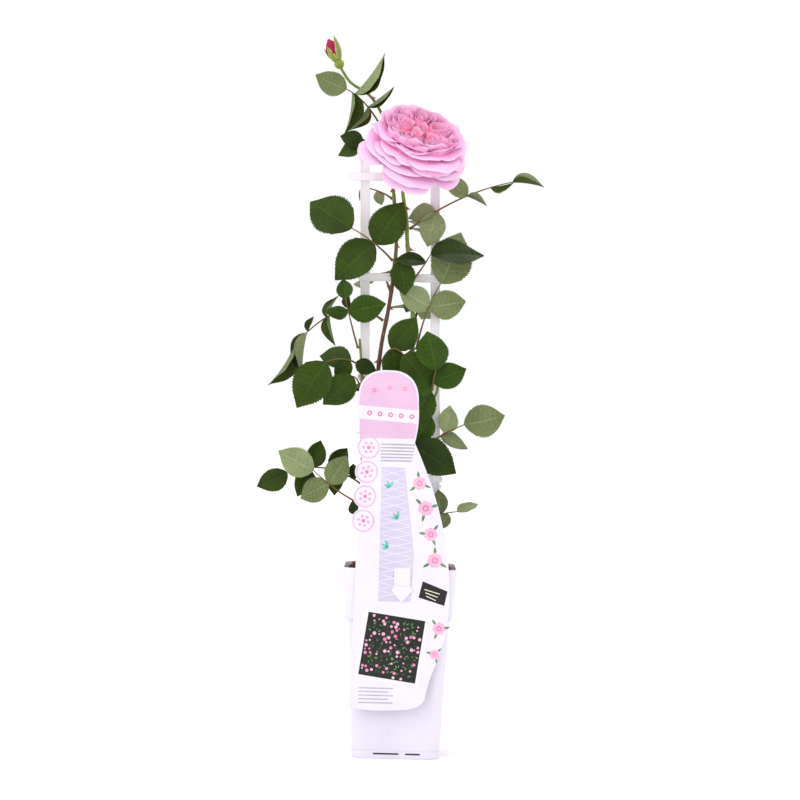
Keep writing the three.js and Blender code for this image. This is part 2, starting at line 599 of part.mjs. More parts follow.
/** One compound leaf: its stalk, its end leaflet and those of its side leaflets that find room. */
function buildLeaf(leaf) {
  const { normal, right, up } = leafPlane(leaf.facing);
  const broadAt = (share) => LEAF.rachis * (1.35 - 0.55 * share);
  let curve = null;
  let stalk = null;
  const trials = [0, -4, 4, -8, 8, -12, 12, -17, 17, -22, 22, -28, 28]
    .flatMap((shift) => [0.15, 0.5, 0.9, 1.4, 2].map((clear) => [shift, clear]));
  for (const [shift, clear] of trials) {
    curve = stalkCurve(leaf, shift, clear);
    stalk = tube(curve, 6, 4, broadAt);
    if (!clashes(stalk)) {
      break;
    }
    stalk = null;
  }
  if (!stalk) {
    throw new Error(`${leaf.name} finds no room for its stalk`);
  }
  const parts = [stalk];
  const blades = [[1, ...leaf.end], ...leaf.sides];
  blades.forEach(([share, bearing, length, turn = 0], index) => {
    const root = curve.getPointAt(clamp(share, 0, 0.985));
    const heading = radians(bearing);
    for (const lean of [0, 8, -8, 16, -16, 26, -26, 38, -38, 50, -50]) {
      const tilt = radians(lean + 4 * Math.sin(3 * index + leaf.from));
      const along = right.clone().multiplyScalar(Math.cos(heading) * Math.cos(tilt))
        .addScaledVector(up, Math.sin(heading) * Math.cos(tilt))
        .addScaledVector(normal, -Math.sin(tilt));
      const sign = index % 2 ? 1 : -1;
      const face = normal.clone().applyAxisAngle(along, radians(sign * turn));
      const size = length / Math.cos(radians(lean) * 0.6);
      const blade = leafletSolid({ root, along, face, length: size });
      const wide = leafletSolid({ root, along, face, length: size, grow: LEAF.gap });
      if (!clashes(wide)) {
        parts.push(blade);
        return;
      }
    }
  });
  const whole = joined(parts);
  addNode(`leaf_${leaf.name.replace(/_leaf$/, '')}`, whole, finish(leaf.colour, 0.5));
}

// ---------------------------------------------------------------- bloom and bud

/** A petal: a thin shell on its whorl's bowl, from its foot over the belly to a rim with round shoulders. */
function petalSolid(frame, { angle, foot, belly, rim, width }) {
  const rows = 3;
  const columns = 4;
  const bowl = new THREE.QuadraticBezierCurve(...[foot, belly, rim].map((p) => new THREE.Vector2(...p)));
  const pointAt = (s, t) => {
    const shoulder = Math.sqrt(1 - 0.6 * Math.min(1, t * t) ** 2);
    const { x: radius, y: height } = bowl.getPoint(s * shoulder);
    const swing = radians(angle) + (t * width * (0.62 + 0.38 * Math.sin(Math.PI * clamp(s, 0, 1) * 0.75))) / 2;
    return frame.centre.clone()
      .addScaledVector(frame.right, radius * Math.cos(swing))
      .addScaledVector(frame.up, radius * Math.sin(swing))
      .addScaledVector(frame.axis, height);
  };
  const outer = [];
  const inner = [];
  for (let r = 0; r <= rows; r += 1) {
    for (let c = 0; c <= columns; c += 1) {
      const s = r / rows;
      const t = (2 * c) / columns - 1;
      const outwards = pointAt(s + 0.02, t).sub(pointAt(s - 0.02, t));
      const sideways = pointAt(s, t + 0.02).sub(pointAt(s, t - 0.02));
      const back = sideways.cross(outwards).normalize();
      inner.push(pointAt(s, t));
      outer.push(pointAt(s, t).addScaledVector(back, BLOOM.petalThickness));
    }
  }
  const span = columns + 1;
  const count = inner.length;
  const points = [...inner, ...outer];
  const faces = [];
  for (let r = 0; r < rows; r += 1) {
    for (let c = 0; c < columns; c += 1) {
      const a = r * span + c;
      faces.push([a, a + 1, a + span], [a + 1, a + span + 1, a + span]);
      faces.push([a + count, a + span + count, a + 1 + count]);
      faces.push([a + 1 + count, a + span + count, a + span + 1 + count]);
    }
  }
  const edge = [];
  for (let c = 0; c < columns; c += 1) {
    edge.push(c);
  }
  for (let r = 0; r < rows; r += 1) {
    edge.push(r * span + columns);
  }
  for (let c = columns; c > 0; c -= 1) {
    edge.push(rows * span + c);
  }
  for (let r = rows; r > 0; r -= 1) {
    edge.push(r * span);
  }
  edge.forEach((a, i) => {
    const b = edge[(i + 1) % edge.length];
    faces.push([a, a + count, b], [b, a + count, b + count]);
  });
  return closedSolid(points, faces);
}

/** The whorls of the bloom from the outside in, each on a bowl given by radius and height. */
const WHORLS = [
  { petals: 6, foot: [18, -15], belly: [44, -18], rim: [59, -7], start: 10 },
  { petals: 7, foot: [18, -9], belly: [46, -9], rim: [57, 4], start: 30 },
  { petals: 7, foot: [20, -3], belly: [44, -2], rim: [49, 16], start: 8 },
  { petals: 6, foot: [18, 0], belly: [36, 2], rim: [38, 24], start: 22 },
  { petals: 5, foot: [12, 0], belly: [26, 6], rim: [27, 29], start: 4 },
  { petals: 3, foot: [4, 0], belly: [14, 8], rim: [15, 31], start: 40 },
];

function buildBloom() {
  const axis = at(BLOOM.axis).normalize();
  const right = vec(0, 0, 1).cross(axis).normalize();
  const up = axis.clone().cross(right);
  const centre = at(BLOOM.centre);
  const coreRings = [[-24, 9], [-19, 24], [-10, 32], [0, 32], [6, 22]].map(([height, radius]) => {
    const ring = [];
    for (let i = 0; i < 11; i += 1) {
      const turn = (2 * Math.PI * i) / 11;
      ring.push(centre.clone().addScaledVector(axis, height)
        .addScaledVector(right, radius * Math.cos(turn)).addScaledVector(up, radius * Math.sin(turn)));
    }
    return ring;
  });
  const core = skin(coreRings, centre.clone().addScaledVector(axis, -27), centre.clone().addScaledVector(axis, 9));
  const random = randomStream(SEED + 5);
  const parts = [core];
  const frame = { right, up, axis, centre };
  for (const whorl of WHORLS) {
    const pitch = 360 / whorl.petals;
    const width = radians(pitch) * BLOOM.petalShare;
    for (let i = 0; i < whorl.petals; i += 1) {
      const [radius, height] = whorl.rim;
      const rim = [radius * (0.96 + 0.06 * random()), height * (0.96 + 0.08 * random())];
      parts.push(petalSolid(frame, { ...whorl, rim, width, angle: whorl.start + pitch * i }));
    }
  }
  const bloom = joined(parts);
  addNode('bloom', bloom, finish(COLOUR.petal, 0.6));
  const hipLength = 13;
  const foot = centre.clone().addScaledVector(axis, -27.6 - hipLength);
  buildCalyx('bloom_calyx', {
    base: foot.toArray(), along: BLOOM.axis, hip: 5.6, hipLength, sepal: 24, spread: 4.6, curl: 0.2,
  });
}

/** The green hip under a flower, with its five sepals. */
function buildCalyx(name, { base, along, hip, hipLength, sepal, spread, curl, clearOf }) {
  const foot = at(base);
  const axis = at(along).normalize();
  const right = vec(0, 1, 0).cross(axis).normalize();
  const up = axis.clone().cross(right);
  const ringAt = (height, radius) => [0, 1, 2, 3, 4, 5, 6, 7].map((i) => {
    const turn = (Math.PI / 4) * i;
    return foot.clone().addScaledVector(axis, height)
      .addScaledVector(right, radius * Math.cos(turn)).addScaledVector(up, radius * Math.sin(turn));
  });
  const rings = [[0, 0.34], [0.2, 0.7], [0.55, 1], [0.85, 0.86], [1, 0.62]];
  const parts = [skin(rings.map(([height, radius]) => ringAt(height * hipLength, radius * hip)))];
  for (let i = 0; i < 5; i += 1) {
    const turn = radians(72 * i + 20);
    const out = right.clone().multiplyScalar(Math.cos(turn)).addScaledVector(up, Math.sin(turn));
    const root = foot.clone().addScaledVector(axis, hipLength * 0.86).addScaledVector(out, hip * 0.6);
    const heading = out.clone().multiplyScalar(spread).add(axis).normalize();
    const face = axis.clone().multiplyScalar(spread).sub(out).normalize();
    parts.push(leafletSolid({ root, along: heading, face, length: sepal, broad: 0.3, curl }));
  }
  const whole = joined(parts);
  const calyx = clearOf ? joined([whole.subtract(clearOf)]) : whole;
  addNode(name, calyx, finish(COLOUR.calyx, 0.6));
}

function buildBud() {
  const foot = at(CANES.thorny.way.at(-1)).add(vec(-0.25, 0, 0.4));
  const axis = vec(-0.42, 0, 0.9).normalize();
  const right = vec(0, 1, 0).cross(axis).normalize();
  const up = axis.clone().cross(right);
  const profile = [[9.7, 2.1], [13, 4.2], [19, 6.2], [25, 5.4], [31, 3.2]];
  const budSolid = (air) => {
    const rings = profile.map(([height, radius], index) => {
      const ring = [];
      for (let i = 0; i < 8; i += 1) {
        const turn = (2 * Math.PI * i) / 8;
        ring.push(foot.clone().addScaledVector(axis, index ? height : height - air)
          .addScaledVector(right, (radius + air) * Math.cos(turn))
          .addScaledVector(up, (radius + air) * Math.sin(turn)));
      }
      return ring;
    });
    return skin(rings, null, foot.clone().addScaledVector(axis, 34 + air));
  };
  addNode('bud', budSolid(0), finish(COLOUR.bud, 0.6));
  buildCalyx('bud_calyx', {
    base: foot.toArray(), along: axis.toArray(), hip: 4.2, hipLength: 9, sepal: 31, spread: 0.42, curl: -0.07,
    clearOf: budSolid(0.4),
  });
}

// ---------------------------------------------------------------- the whole plant

buildPot();
buildSoil();
buildLadder();
buildCard();
buildCanes();
buildBud();
buildBloom();
LEAVES.forEach(buildLeaf);

export default plant;
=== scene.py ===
"""A young rose bush in a tall square pot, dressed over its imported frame.

Everything is in metres, in the frame's own axes: +Z up, -Y towards the card and the bloom. Sizes that are
easier to read in millimetres are written as a number times MM.
"""

import logging
from dataclasses import dataclass, field
from enum import Enum
from math import atan2, cos, degrees, exp, hypot, pi, radians, sin, sqrt, tau
from typing import Callable, Sequence

import bpy
import numpy as np
from mathutils import Matrix, Vector
from mathutils.kdtree import KDTree


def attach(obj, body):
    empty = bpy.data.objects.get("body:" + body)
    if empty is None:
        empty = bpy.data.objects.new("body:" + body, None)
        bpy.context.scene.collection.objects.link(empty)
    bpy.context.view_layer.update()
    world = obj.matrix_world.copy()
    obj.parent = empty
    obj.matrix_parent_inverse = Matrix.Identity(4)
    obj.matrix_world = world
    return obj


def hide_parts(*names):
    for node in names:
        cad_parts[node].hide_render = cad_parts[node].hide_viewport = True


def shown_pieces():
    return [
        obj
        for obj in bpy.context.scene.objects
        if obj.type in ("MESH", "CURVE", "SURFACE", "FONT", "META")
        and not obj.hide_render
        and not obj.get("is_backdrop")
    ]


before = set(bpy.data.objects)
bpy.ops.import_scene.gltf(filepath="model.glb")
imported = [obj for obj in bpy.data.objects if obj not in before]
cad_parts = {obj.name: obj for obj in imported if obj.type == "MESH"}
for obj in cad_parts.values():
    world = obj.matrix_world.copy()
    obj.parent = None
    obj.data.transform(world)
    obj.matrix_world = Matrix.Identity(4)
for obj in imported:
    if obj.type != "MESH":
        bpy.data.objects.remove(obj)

LOG = logging.getLogger("rose_bush")
MM = 0.001
SEED = 20417
ROOT = "root"
BLOOM_CENTRE = (6, -49, 641)
BLOOM_AXIS = (0.25, -0.56, 0.79)
Colour = tuple[float, float, float]
Item = bpy.types.Object
Material = bpy.types.Material
Socket = bpy.types.NodeSocket
Paint = Socket | Colour


# ---- small helpers


class Stream:
    """A repeatable stream of numbers from 0 to 1, the same one that the solids' source uses."""

    def __init__(self, seed: int) -> None:
        """Start the stream."""
        self.state = seed & 0xFFFFFFFF

    def __call__(self) -> float:
        """Give the next number."""
        self.state = (self.state * 1664525 + 1013904223) & 0xFFFFFFFF
        return self.state / 4294967296

    def between(self, low: float, high: float) -> float:
        """Give the next number in a range."""
        return low + (high - low) * self()


def mm(point: Sequence[float]) -> Vector:
    """Turn a point in millimetres into a vector in metres."""
    return Vector(point) * MM


def srgb(code: str) -> Colour:
    """Turn a screen colour into the linear values that shaders take.

    Args:
        code: A colour such as "#3c5220".

    Returns:
        Red, green and blue from 0 to 1, linear.
    """
    values = [int(code[i : i + 2], 16) / 255 for i in (1, 3, 5)]
    linear = [v / 12.92 if v <= 0.04045 else ((v + 0.055) / 1.055) ** 2.4 for v in values]
    return (linear[0], linear[1], linear[2])


class MeshDraft:
    """Collects many shapes into the arrays of one mesh."""

    def __init__(self) -> None:
        """Start with nothing."""
        self.points: list[np.ndarray] = []
        self.faces: list[tuple[int, ...]] = []
        self.slots: list[int] = []
        self.count = 0

    def add(
        self, points: Sequence[Sequence[float]], faces: Sequence[Sequence[int]], slot: int | Sequence[int] = 0
    ) -> None:
        """Add one shape.

        Args:
            points: Its corners, one row each, in metres.
            faces: Its faces as indices into those rows.
            slot: The material slot of all its faces, or one for each face.
        """
        start = self.count
        self.points.append(np.array([tuple(p) for p in points], dtype=float))
        self.faces.extend(tuple(int(i) + start for i in face) for face in faces)
        self.slots.extend([slot] * len(faces) if isinstance(slot, int) else [int(s) for s in slot])
        self.count += len(self.points[-1])

    def add_slab(self, outline: Sequence[tuple[float, float]], y: float, depth: float, slot: int) -> None:
        """Add a flat slab that faces the front.

        Args:
            outline: Its outline in X and Z, in millimetres.
            y: Its front face.
            depth: Its thickness.
            slot: Its material.
        """
        area = sum(a[0] * b[1] - b[0] * a[1] for a, b in zip(outline, [*outline[1:], outline[0]]))
        loop = list(outline) if area > 0 else list(reversed(outline))
        n = len(loop)
        points = [(x * MM, level * MM, z * MM) for level in (y, y + depth) for x, z in loop]
        faces: list[tuple[int, ...]] = [tuple(range(n)), tuple(reversed(range(n, 2 * n)))]
        faces += [((i + 1) % n, i, i + n, (i + 1) % n + n) for i in range(n)]
        self.add(points, faces, slot)

    def build(self, name: str, materials: Sequence[Material], smooth: bool = True) -> Item:
        """Make the object and let it ride on the plant's one body.

        Args:
            name: The object's name.
            materials: Its material slots in order.
            smooth: Whether its faces are shaded smooth.

        Returns:
            The new object.
        """
        mesh = bpy.data.meshes.new(name)
        mesh.from_pydata([tuple(p) for p in np.concatenate(self.points)], [], self.faces)
        for material in materials:
            mesh.materials.append(material)
        mesh.polygons.foreach_set("material_index", self.slots)
        mesh.polygons.foreach_set("use_smooth", [smooth] * len(self.faces))
        mesh.update()
        item = bpy.data.objects.new(name, mesh)
        bpy.context.scene.collection.objects.link(item)
        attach(item, ROOT)
        return item


def grid_faces(rows: int, columns: int, closed: bool = False) -> list[tuple[int, int, int, int]]:
    """List the faces of a grid of points.

    Args:
        rows: How many rows of points.
        columns: How many points a row.
        closed: Whether each row joins up into a ring.

    Returns:
        The faces, each as four indices.
    """
    faces = []
    for r in range(rows - 1):
        for c in range(columns if closed else columns - 1):
            n = (c + 1) % columns
            faces.append((r * columns + c, r * columns + n, (r + 1) * columns + n, (r + 1) * columns + c))
    return faces


def ring_faces(rings: int, sides: int, first: bool = True, last: bool = True) -> list[tuple[int, ...]]:
    """List the faces of a skin over closed rings of points.

    Args:
        rings: How many rings.
        sides: How many points a ring.
        first: Whether a face closes the first ring.
        last: Whether a face closes the last ring.

    Returns:
        The faces as indices.
    """
    faces: list[tuple[int, ...]] = list(grid_faces(rings, sides, closed=True))
    if first:
        faces.append(tuple(reversed(range(sides))))
    if last:
        faces.append(tuple(range((rings - 1) * sides, rings * sides)))
    return faces


class CatmullRom:
    """A centripetal Catmull-Rom curve through points, measured along its length."""

    def __init__(self, points: Sequence[Vector], samples: int = 600) -> None:
        """Sample the curve.

        Args:
            points: What it passes through, in order.
            samples: How finely it is sampled.
        """
        ends = [points[0] * 2 - points[1], *points, points[-1] * 2 - points[-2]]
        spans = len(points) - 1
        self.samples = []
        for i in range(samples + 1):
            place = min(i / samples * spans, spans - 1e-9)
            k = int(place)
            self.samples.append(self._segment(ends[k : k + 4], place - k))
        steps = [(b - a).length for a, b in zip(self.samples, self.samples[1:])]
        self.lengths = np.concatenate([[0.0], np.cumsum(steps)])
        self.length = float(self.lengths[-1])
        self.table = np.array([tuple(p) for p in self.samples])

    @staticmethod
    def _segment(p: Sequence[Vector], t: float) -> Vector:
        """Give a point between the second and third of four points.

        Args:
            p: Four points.
            t: The share of the way from the second to the third.

        Returns:
            The point.
        """
        gaps = [max((b - a).length ** 0.5, 1e-6) for a, b in zip(p, p[1:])]
        tangents = []
        for i in (0, 1):
            a, b, c = p[i : i + 3]
            g, h = gaps[i : i + 2]
            tangents.append(((b - a) / g - (c - a) / (g + h) + (c - b) / h) * gaps[1])
        t2, t3 = t * t, t * t * t
        start, end = p[1], p[2]
        return (
            start * (2 * t3 - 3 * t2 + 1)
            + tangents[0] * (t3 - 2 * t2 + t)
            + end * (3 * t2 - 2 * t3)
            + tangents[1] * (t3 - t2)
        )

    def point(self, share: float) -> Vector:
        """Give the point at a share of the length."""
        at = np.clip(share, 0, 1) * self.length
        return Vector([float(np.interp(at, self.lengths, self.table[:, k])) for k in range(3)])

    def tangent(self, share: float) -> Vector:
        """Give the direction of travel at a share of the length."""
        return (self.point(min(share + 0.004, 1)) - self.point(max(share - 0.004, 0))).normalized()


def sweep(
    route: Callable[[float], Vector],
    radius: Callable[[float, float], float],
    steps: int,
    sides: int,
) -> tuple[np.ndarray, list[tuple[int, ...]]]:
    """Make a round skin along a route.

    Args:
        route: Gives the point at a share of the way.
        radius: Gives the radius at a share of the way and an angle round it.
        steps: How many stretches it is cut into.
        sides: How many sides it has.

    Returns:
        The corners and the faces.
    """
    centres = [route(s / steps) for s in range(steps + 1)]
    tangents = []
    for i in range(steps + 1):
        a, b = centres[max(i - 1, 0)], centres[min(i + 1, steps)]
        tangents.append((b - a).normalized())
    side = tangents[0].orthogonal().normalized()
    points = []
    for i, (centre, tangent) in enumerate(zip(centres, tangents)):
        side = (side - tangent * side.dot(tangent)).normalized()
        over = tangent.cross(side)
        for k in range(sides):
            turn = tau * k / sides
            reach = radius(i / steps, turn)
            points.append(centre + side * (reach * cos(turn)) + over * (reach * sin(turn)))
    return np.array([tuple(p) for p in points]), ring_faces(steps + 1, sides)


# ---- finishes


class NodeGraph:
    """A short way to lay out the nodes of one material."""

    def __init__(self, name: str) -> None:
        """Start a material with one shader.

        Args:
            name: The material's name.
        """
        self.material = bpy.data.materials.new(name)
        self.material.use_nodes = True
        self.tree = self.material.node_tree
        self.shader = self.tree.nodes["Principled BSDF"]
        self.place = self.add("ShaderNodeTexCoord").outputs["Object"]

    def add(self, kind: str, **settings: object) -> bpy.types.Node:
        """Add one node.

        Args:
            kind: The node's type.
            settings: Its own options by name.

        Returns:
            The node.
        """
        node = self.tree.nodes.new(kind)
        for key, value in settings.items():
            setattr(node, key, value)
        return node

    def link(self, source: Socket, target: Socket) -> None:
        """Join an output to an input."""
        self.tree.links.new(source, target)

    def noise(
        self, scale: float, detail: float = 3, stretch: Sequence[float] = (1, 1, 1), rough: float = 0.55
    ) -> Socket:
        """Add a noise that lies still on the object.

        Args:
            scale: How many waves a metre.
            detail: How many finer layers it has.
            stretch: How much it is squeezed along each axis.
            rough: How strong the finer layers are.

        Returns:
            Its strength as an output from 0 to 1.
        """
        mapping = self.add("ShaderNodeMapping")
        mapping.inputs["Scale"].default_value = stretch
        self.link(self.place, mapping.inputs["Vector"])
        node = self.add("ShaderNodeTexNoise")
        node.inputs["Scale"].default_value = scale
        node.inputs["Detail"].default_value = detail
        node.inputs["Roughness"].default_value = rough
        self.link(mapping.outputs["Vector"], node.inputs["Vector"])
        return node.outputs["Fac"]

    def ramp(self, source: Socket, stops: Sequence[tuple[float, Colour]]) -> Socket:
        """Turn a strength into a colour.

        Args:
            source: The strength.
            stops: Places from 0 to 1 with their colours, in order.

        Returns:
            The colour as an output.
        """
        node = self.add("ShaderNodeValToRGB")
        elements = node.color_ramp.elements
        for i, (place, colour) in enumerate(stops):
            element = elements[i] if i < 2 else elements.new(place)
            element.position = place
            element.color = (*colour, 1)
        self.link(source, node.inputs["Fac"])
        return node.outputs["Color"]

    def mix(self, factor: Socket | float, first: Paint, second: Paint, blend: str = "MIX") -> Socket:
        """Mix two colours.

        Args:
            factor: A number or an output.
            first: A colour or an output.
            second: A colour or an output.
            blend: How they are mixed.

        Returns:
            The mixed colour as an output.
        """
        node = self.add("ShaderNodeMix", data_type="RGBA", blend_type=blend)
        pairs_in = (node.inputs["Factor"], factor), (node.inputs[6], first), (node.inputs[7], second)
        for socket, value in pairs_in:
            if isinstance(value, Socket):
                self.link(value, socket)
            elif isinstance(value, tuple):
                socket.default_value = (*value, 1)
            else:
                socket.default_value = value
        return node.outputs[2]

    def bump(self, layers: Sequence[tuple[Socket, float]]) -> None:
        """Raise the surface by strengths, each with its height.

        Args:
            layers: Strengths with heights in metres.
        """
        last = None
        for source, height in layers:
            node = self.add("ShaderNodeBump")
            node.inputs["Strength"].default_value = 1.0
            node.inputs["Distance"].default_value = height
            self.link(source, node.inputs["Height"])
            if last is not None:
                self.link(last, node.inputs["Normal"])
            last = node.outputs["Normal"]
        self.link(last, self.shader.inputs["Normal"])

    def surface(self, colour: Paint, roughness: float, **sockets: float) -> Material:
        """Finish the shader.

        Args:
            colour: The base colour or its output.
            roughness: How dull it is.
            sockets: Further inputs of the shader, with _ for a blank.

        Returns:
            The material.
        """
        target = self.shader.inputs["Base Color"]
        if isinstance(colour, Socket):
            self.link(colour, target)
        else:
            target.default_value = (*colour, 1)
        self.shader.inputs["Roughness"].default_value = roughness
        for key, value in sockets.items():
            self.shader.inputs[key.replace("_", " ")].default_value = value
        return self.material


@dataclass(frozen=True)
class LeafFinish:
    """The skin of a leaf: mottled green with a fine grain."""

    name: str
    dark: str
    light: str
    roughness: float
    grain: float = 0.00008
    sheen: float = 0.0
    specular: float = 0.45

    def build(self) -> Material:
        """Make the material.

        Returns:
            The material.
        """
        graph = NodeGraph(self.name)
        broad = graph.noise(34, 3)
        fine = graph.noise(420, 2)
        base = graph.ramp(broad, [(0.3, srgb(self.dark)), (0.72, srgb(self.light))])
        speck = graph.ramp(fine, [(0.35, (0.82, 0.82, 0.8)), (0.7, (1.12, 1.12, 1.08))])
        colour = graph.mix(0.55, base, speck, "MULTIPLY")
        graph.bump([(graph.noise(900, 2), self.grain), (graph.noise(150, 2), self.grain * 3)])
        return graph.surface(
            colour,
            self.roughness,
            Specular_IOR_Level=self.specular,
            Sheen_Weight=self.sheen,
            Subsurface_Weight=0.04,
            Subsurface_Scale=0.002,
        )


@dataclass(frozen=True)
class BarkFinish:
    """Young rose bark: a green or red-brown skin with long streaks and small corky dots."""

    name: str
    base: str
    flush: str
    dots: str
    young: str = "#75863a"
    turns: tuple[float, float] = (0.5, 0.6)

    def build(self) -> Material:
        """Make the material.

        Returns:
            The material.
        """
        graph = NodeGraph(self.name)
        patches = graph.noise(16, 3, (1, 1, 0.6))
        streaks = graph.noise(700, 3, (1, 1, 0.06))
        base = graph.ramp(patches, [(0.38, srgb(self.base)), (0.66, srgb(self.flush))])
        split = graph.add("ShaderNodeSeparateXYZ")
        graph.link(graph.place, split.inputs[0])
        rise = graph.add("ShaderNodeMapRange")
        rise.inputs["From Min"].default_value, rise.inputs["From Max"].default_value = self.turns
        graph.link(split.outputs["Z"], rise.inputs["Value"])
        base = graph.mix(rise.outputs["Result"], base, srgb(self.young))
        shade = graph.ramp(streaks, [(0.3, (0.72, 0.72, 0.7)), (0.7, (1.15, 1.15, 1.1))])
        colour = graph.mix(0.7, base, shade, "MULTIPLY")
        cells = graph.add("ShaderNodeTexVoronoi")
        mapping = graph.add("ShaderNodeMapping")
        mapping.inputs["Scale"].default_value = (1, 1, 0.45)
        graph.link(graph.place, mapping.inputs["Vector"])
        graph.link(mapping.outputs["Vector"], cells.inputs["Vector"])
        cells.inputs["Scale"].default_value = 420
        spots = graph.ramp(cells.outputs["Distance"], [(0.1, (1, 1, 1)), (0.2, (0, 0, 0))])
        colour = graph.mix(spots, colour, srgb(self.dots))
        graph.bump([(streaks, 0.00018), (spots, 0.0001)])
        return graph.surface(colour, 0.46, Specular_IOR_Level=0.4)


@dataclass(frozen=True)
class PetalFinish:
    """A petal: soft, with fine veins, deeper towards the heart of the flower and paler at its rim."""

    name: str
    deep: str
    main: str
    rim: str
    heart: Vector
    reach: float
    stops: tuple[float, float, float] = (0.4, 0.62, 0.95)
    glow: float = 0.5

    def build(self) -> Material:
        """Make the material.

        Returns:
            The material.
        """
        graph = NodeGraph(self.name)
        offset = graph.add("ShaderNodeVectorMath", operation="DISTANCE")
        offset.inputs[1].default_value = self.heart
        graph.link(graph.place, offset.inputs[0])
        share = graph.add("ShaderNodeMath", operation="DIVIDE")
        share.inputs[1].default_value = self.reach
        graph.link(offset.outputs["Value"], share.inputs[0])
        wander = graph.add("ShaderNodeMath", operation="MULTIPLY_ADD")
        wander.inputs[1].default_value = 0.12
        graph.link(graph.noise(60, 2), wander.inputs[0])
        graph.link(share.outputs[0], wander.inputs[2])
        base = graph.ramp(
            wander.outputs[0], list(zip(self.stops, (srgb(self.deep), srgb(self.main), srgb(self.rim))))
        )
        veins = graph.noise(520, 3)
        tint = graph.ramp(veins, [(0.3, (0.96, 0.92, 0.95)), (0.68, (1.02, 1.02, 1.02))])
        colour = graph.mix(0.6, base, tint, "MULTIPLY")
        graph.bump([(graph.noise(170, 3), 0.0003), (veins, 0.00006)])
        return graph.surface(
            colour,
            0.55,
            Specular_IOR_Level=0.15,
            Sheen_Weight=0.06,
            Sheen_Roughness=0.5,
            Subsurface_Weight=self.glow,
            Subsurface_Scale=0.006,
        )


@dataclass(frozen=True)
class PlasticFinish:
    """Moulded plastic with a faint flow pattern, tiny pits and light scuffs."""

    name: str
    base: str
    shade: str
    roughness: float
    pits: float = 0.00003
    flow: Sequence[float] = (1, 1, 0.25)

    def build(self) -> Material:
        """Make the material.

        Returns:
            The material.
        """
        graph = NodeGraph(self.name)
        flow = graph.noise(26, 4, self.flow)
        scuffs = graph.noise(240, 5, (1, 1, 0.3), 0.7)
        base = graph.ramp(flow, [(0.3, srgb(self.shade)), (0.7, srgb(self.base))])
        marks = graph.ramp(scuffs, [(0.68, (1, 1, 1)), (0.82, (0.93, 0.925, 0.93))])
        colour = graph.mix(1.0, base, marks, "MULTIPLY")
        graph.bump([(graph.noise(1400, 2), self.pits), (flow, 0.0004)])
        return graph.surface(
            colour, self.roughness, Specular_IOR_Level=0.5, Subsurface_Weight=0.12, Subsurface_Scale=0.004
        )


@dataclass(frozen=True)
class SoilFinish:
    """Damp compost: dark brown with fibres and paler grains."""

    name: str
    dark: str
    light: str

    def build(self) -> Material:
        """Make the material.

        Returns:
            The material.
        """
        graph = NodeGraph(self.name)
        lumps = graph.noise(180, 6, (1, 1, 1), 0.7)
        base = graph.ramp(lumps, [(0.3, srgb(self.dark)), (0.7, srgb(self.light))])
        graph.bump([(lumps, 0.0012), (graph.noise(1100, 3), 0.0004)])
        return graph.surface(base, 0.92, Specular_IOR_Level=0.15)


@dataclass(frozen=True)
class PrintFinish:
    """Ink on a plastic card: an even tint with a fine dot screen and a low gloss."""

    name: str
    ink: str
    second: str
    roughness: float = 0.38
    waves: float = 40

    def build(self) -> Material:
        """Make the material.

        Returns:
            The material.
        """
        graph = NodeGraph(self.name)
        drift = graph.noise(self.waves, 3)
        base = graph.ramp(drift, [(0.3, srgb(self.second)), (0.7, srgb(self.ink))])
        dots = graph.noise(2600, 1)
        screen = graph.ramp(dots, [(0.4, (0.97, 0.97, 0.97)), (0.6, (1.02, 1.02, 1.02))])
        colour = graph.mix(1.0, base, screen, "MULTIPLY")
        graph.bump([(graph.noise(800, 2), 0.00002)])
        return graph.surface(colour, self.roughness, Specular_IOR_Level=0.45)


class Tone(Enum):
    """How a leaf is coloured on its upper side."""

    TOP = "top"
    BRIGHT = "bright"
    PALE = "pale"


# ---- the growth rule, shared with the solids


@dataclass
class Cane:
    """One cane: its way up from the soil and its thickness at foot and tip, in millimetres."""

    name: str
    way: list[tuple[float, float, float]]
    foot: float
    tip: float
    ripe: bool = False
    flare: float = 1.5
    flare_height: float = 26.0
    curve: CatmullRom = field(init=False)

    def __post_init__(self) -> None:
        """Lay out the curve."""
        self.curve = CatmullRom([mm(p) for p in self.way])

    def radius(self, share: float) -> float:
        """Give the cane's radius."""
        flare = max(0.0, 1 - share * self.curve.length / (self.flare_height * MM))
        return (self.foot + (self.tip - self.foot) * share + self.flare * flare * flare) * MM

    def at_height(self, height: float) -> tuple[Vector, float, Vector]:
        """Find the place on the cane at a height.

        Args:
            height: In metres.

        Returns:
            The middle, the radius and the direction there.
        """
        low, high = 0.0, 1.0
        for _ in range(24):
            middle = (low + high) / 2
            if self.curve.point(middle).z < height:
                low = middle
            else:
                high = middle
        return self.curve.point(low), self.radius(low), self.curve.tangent(low)


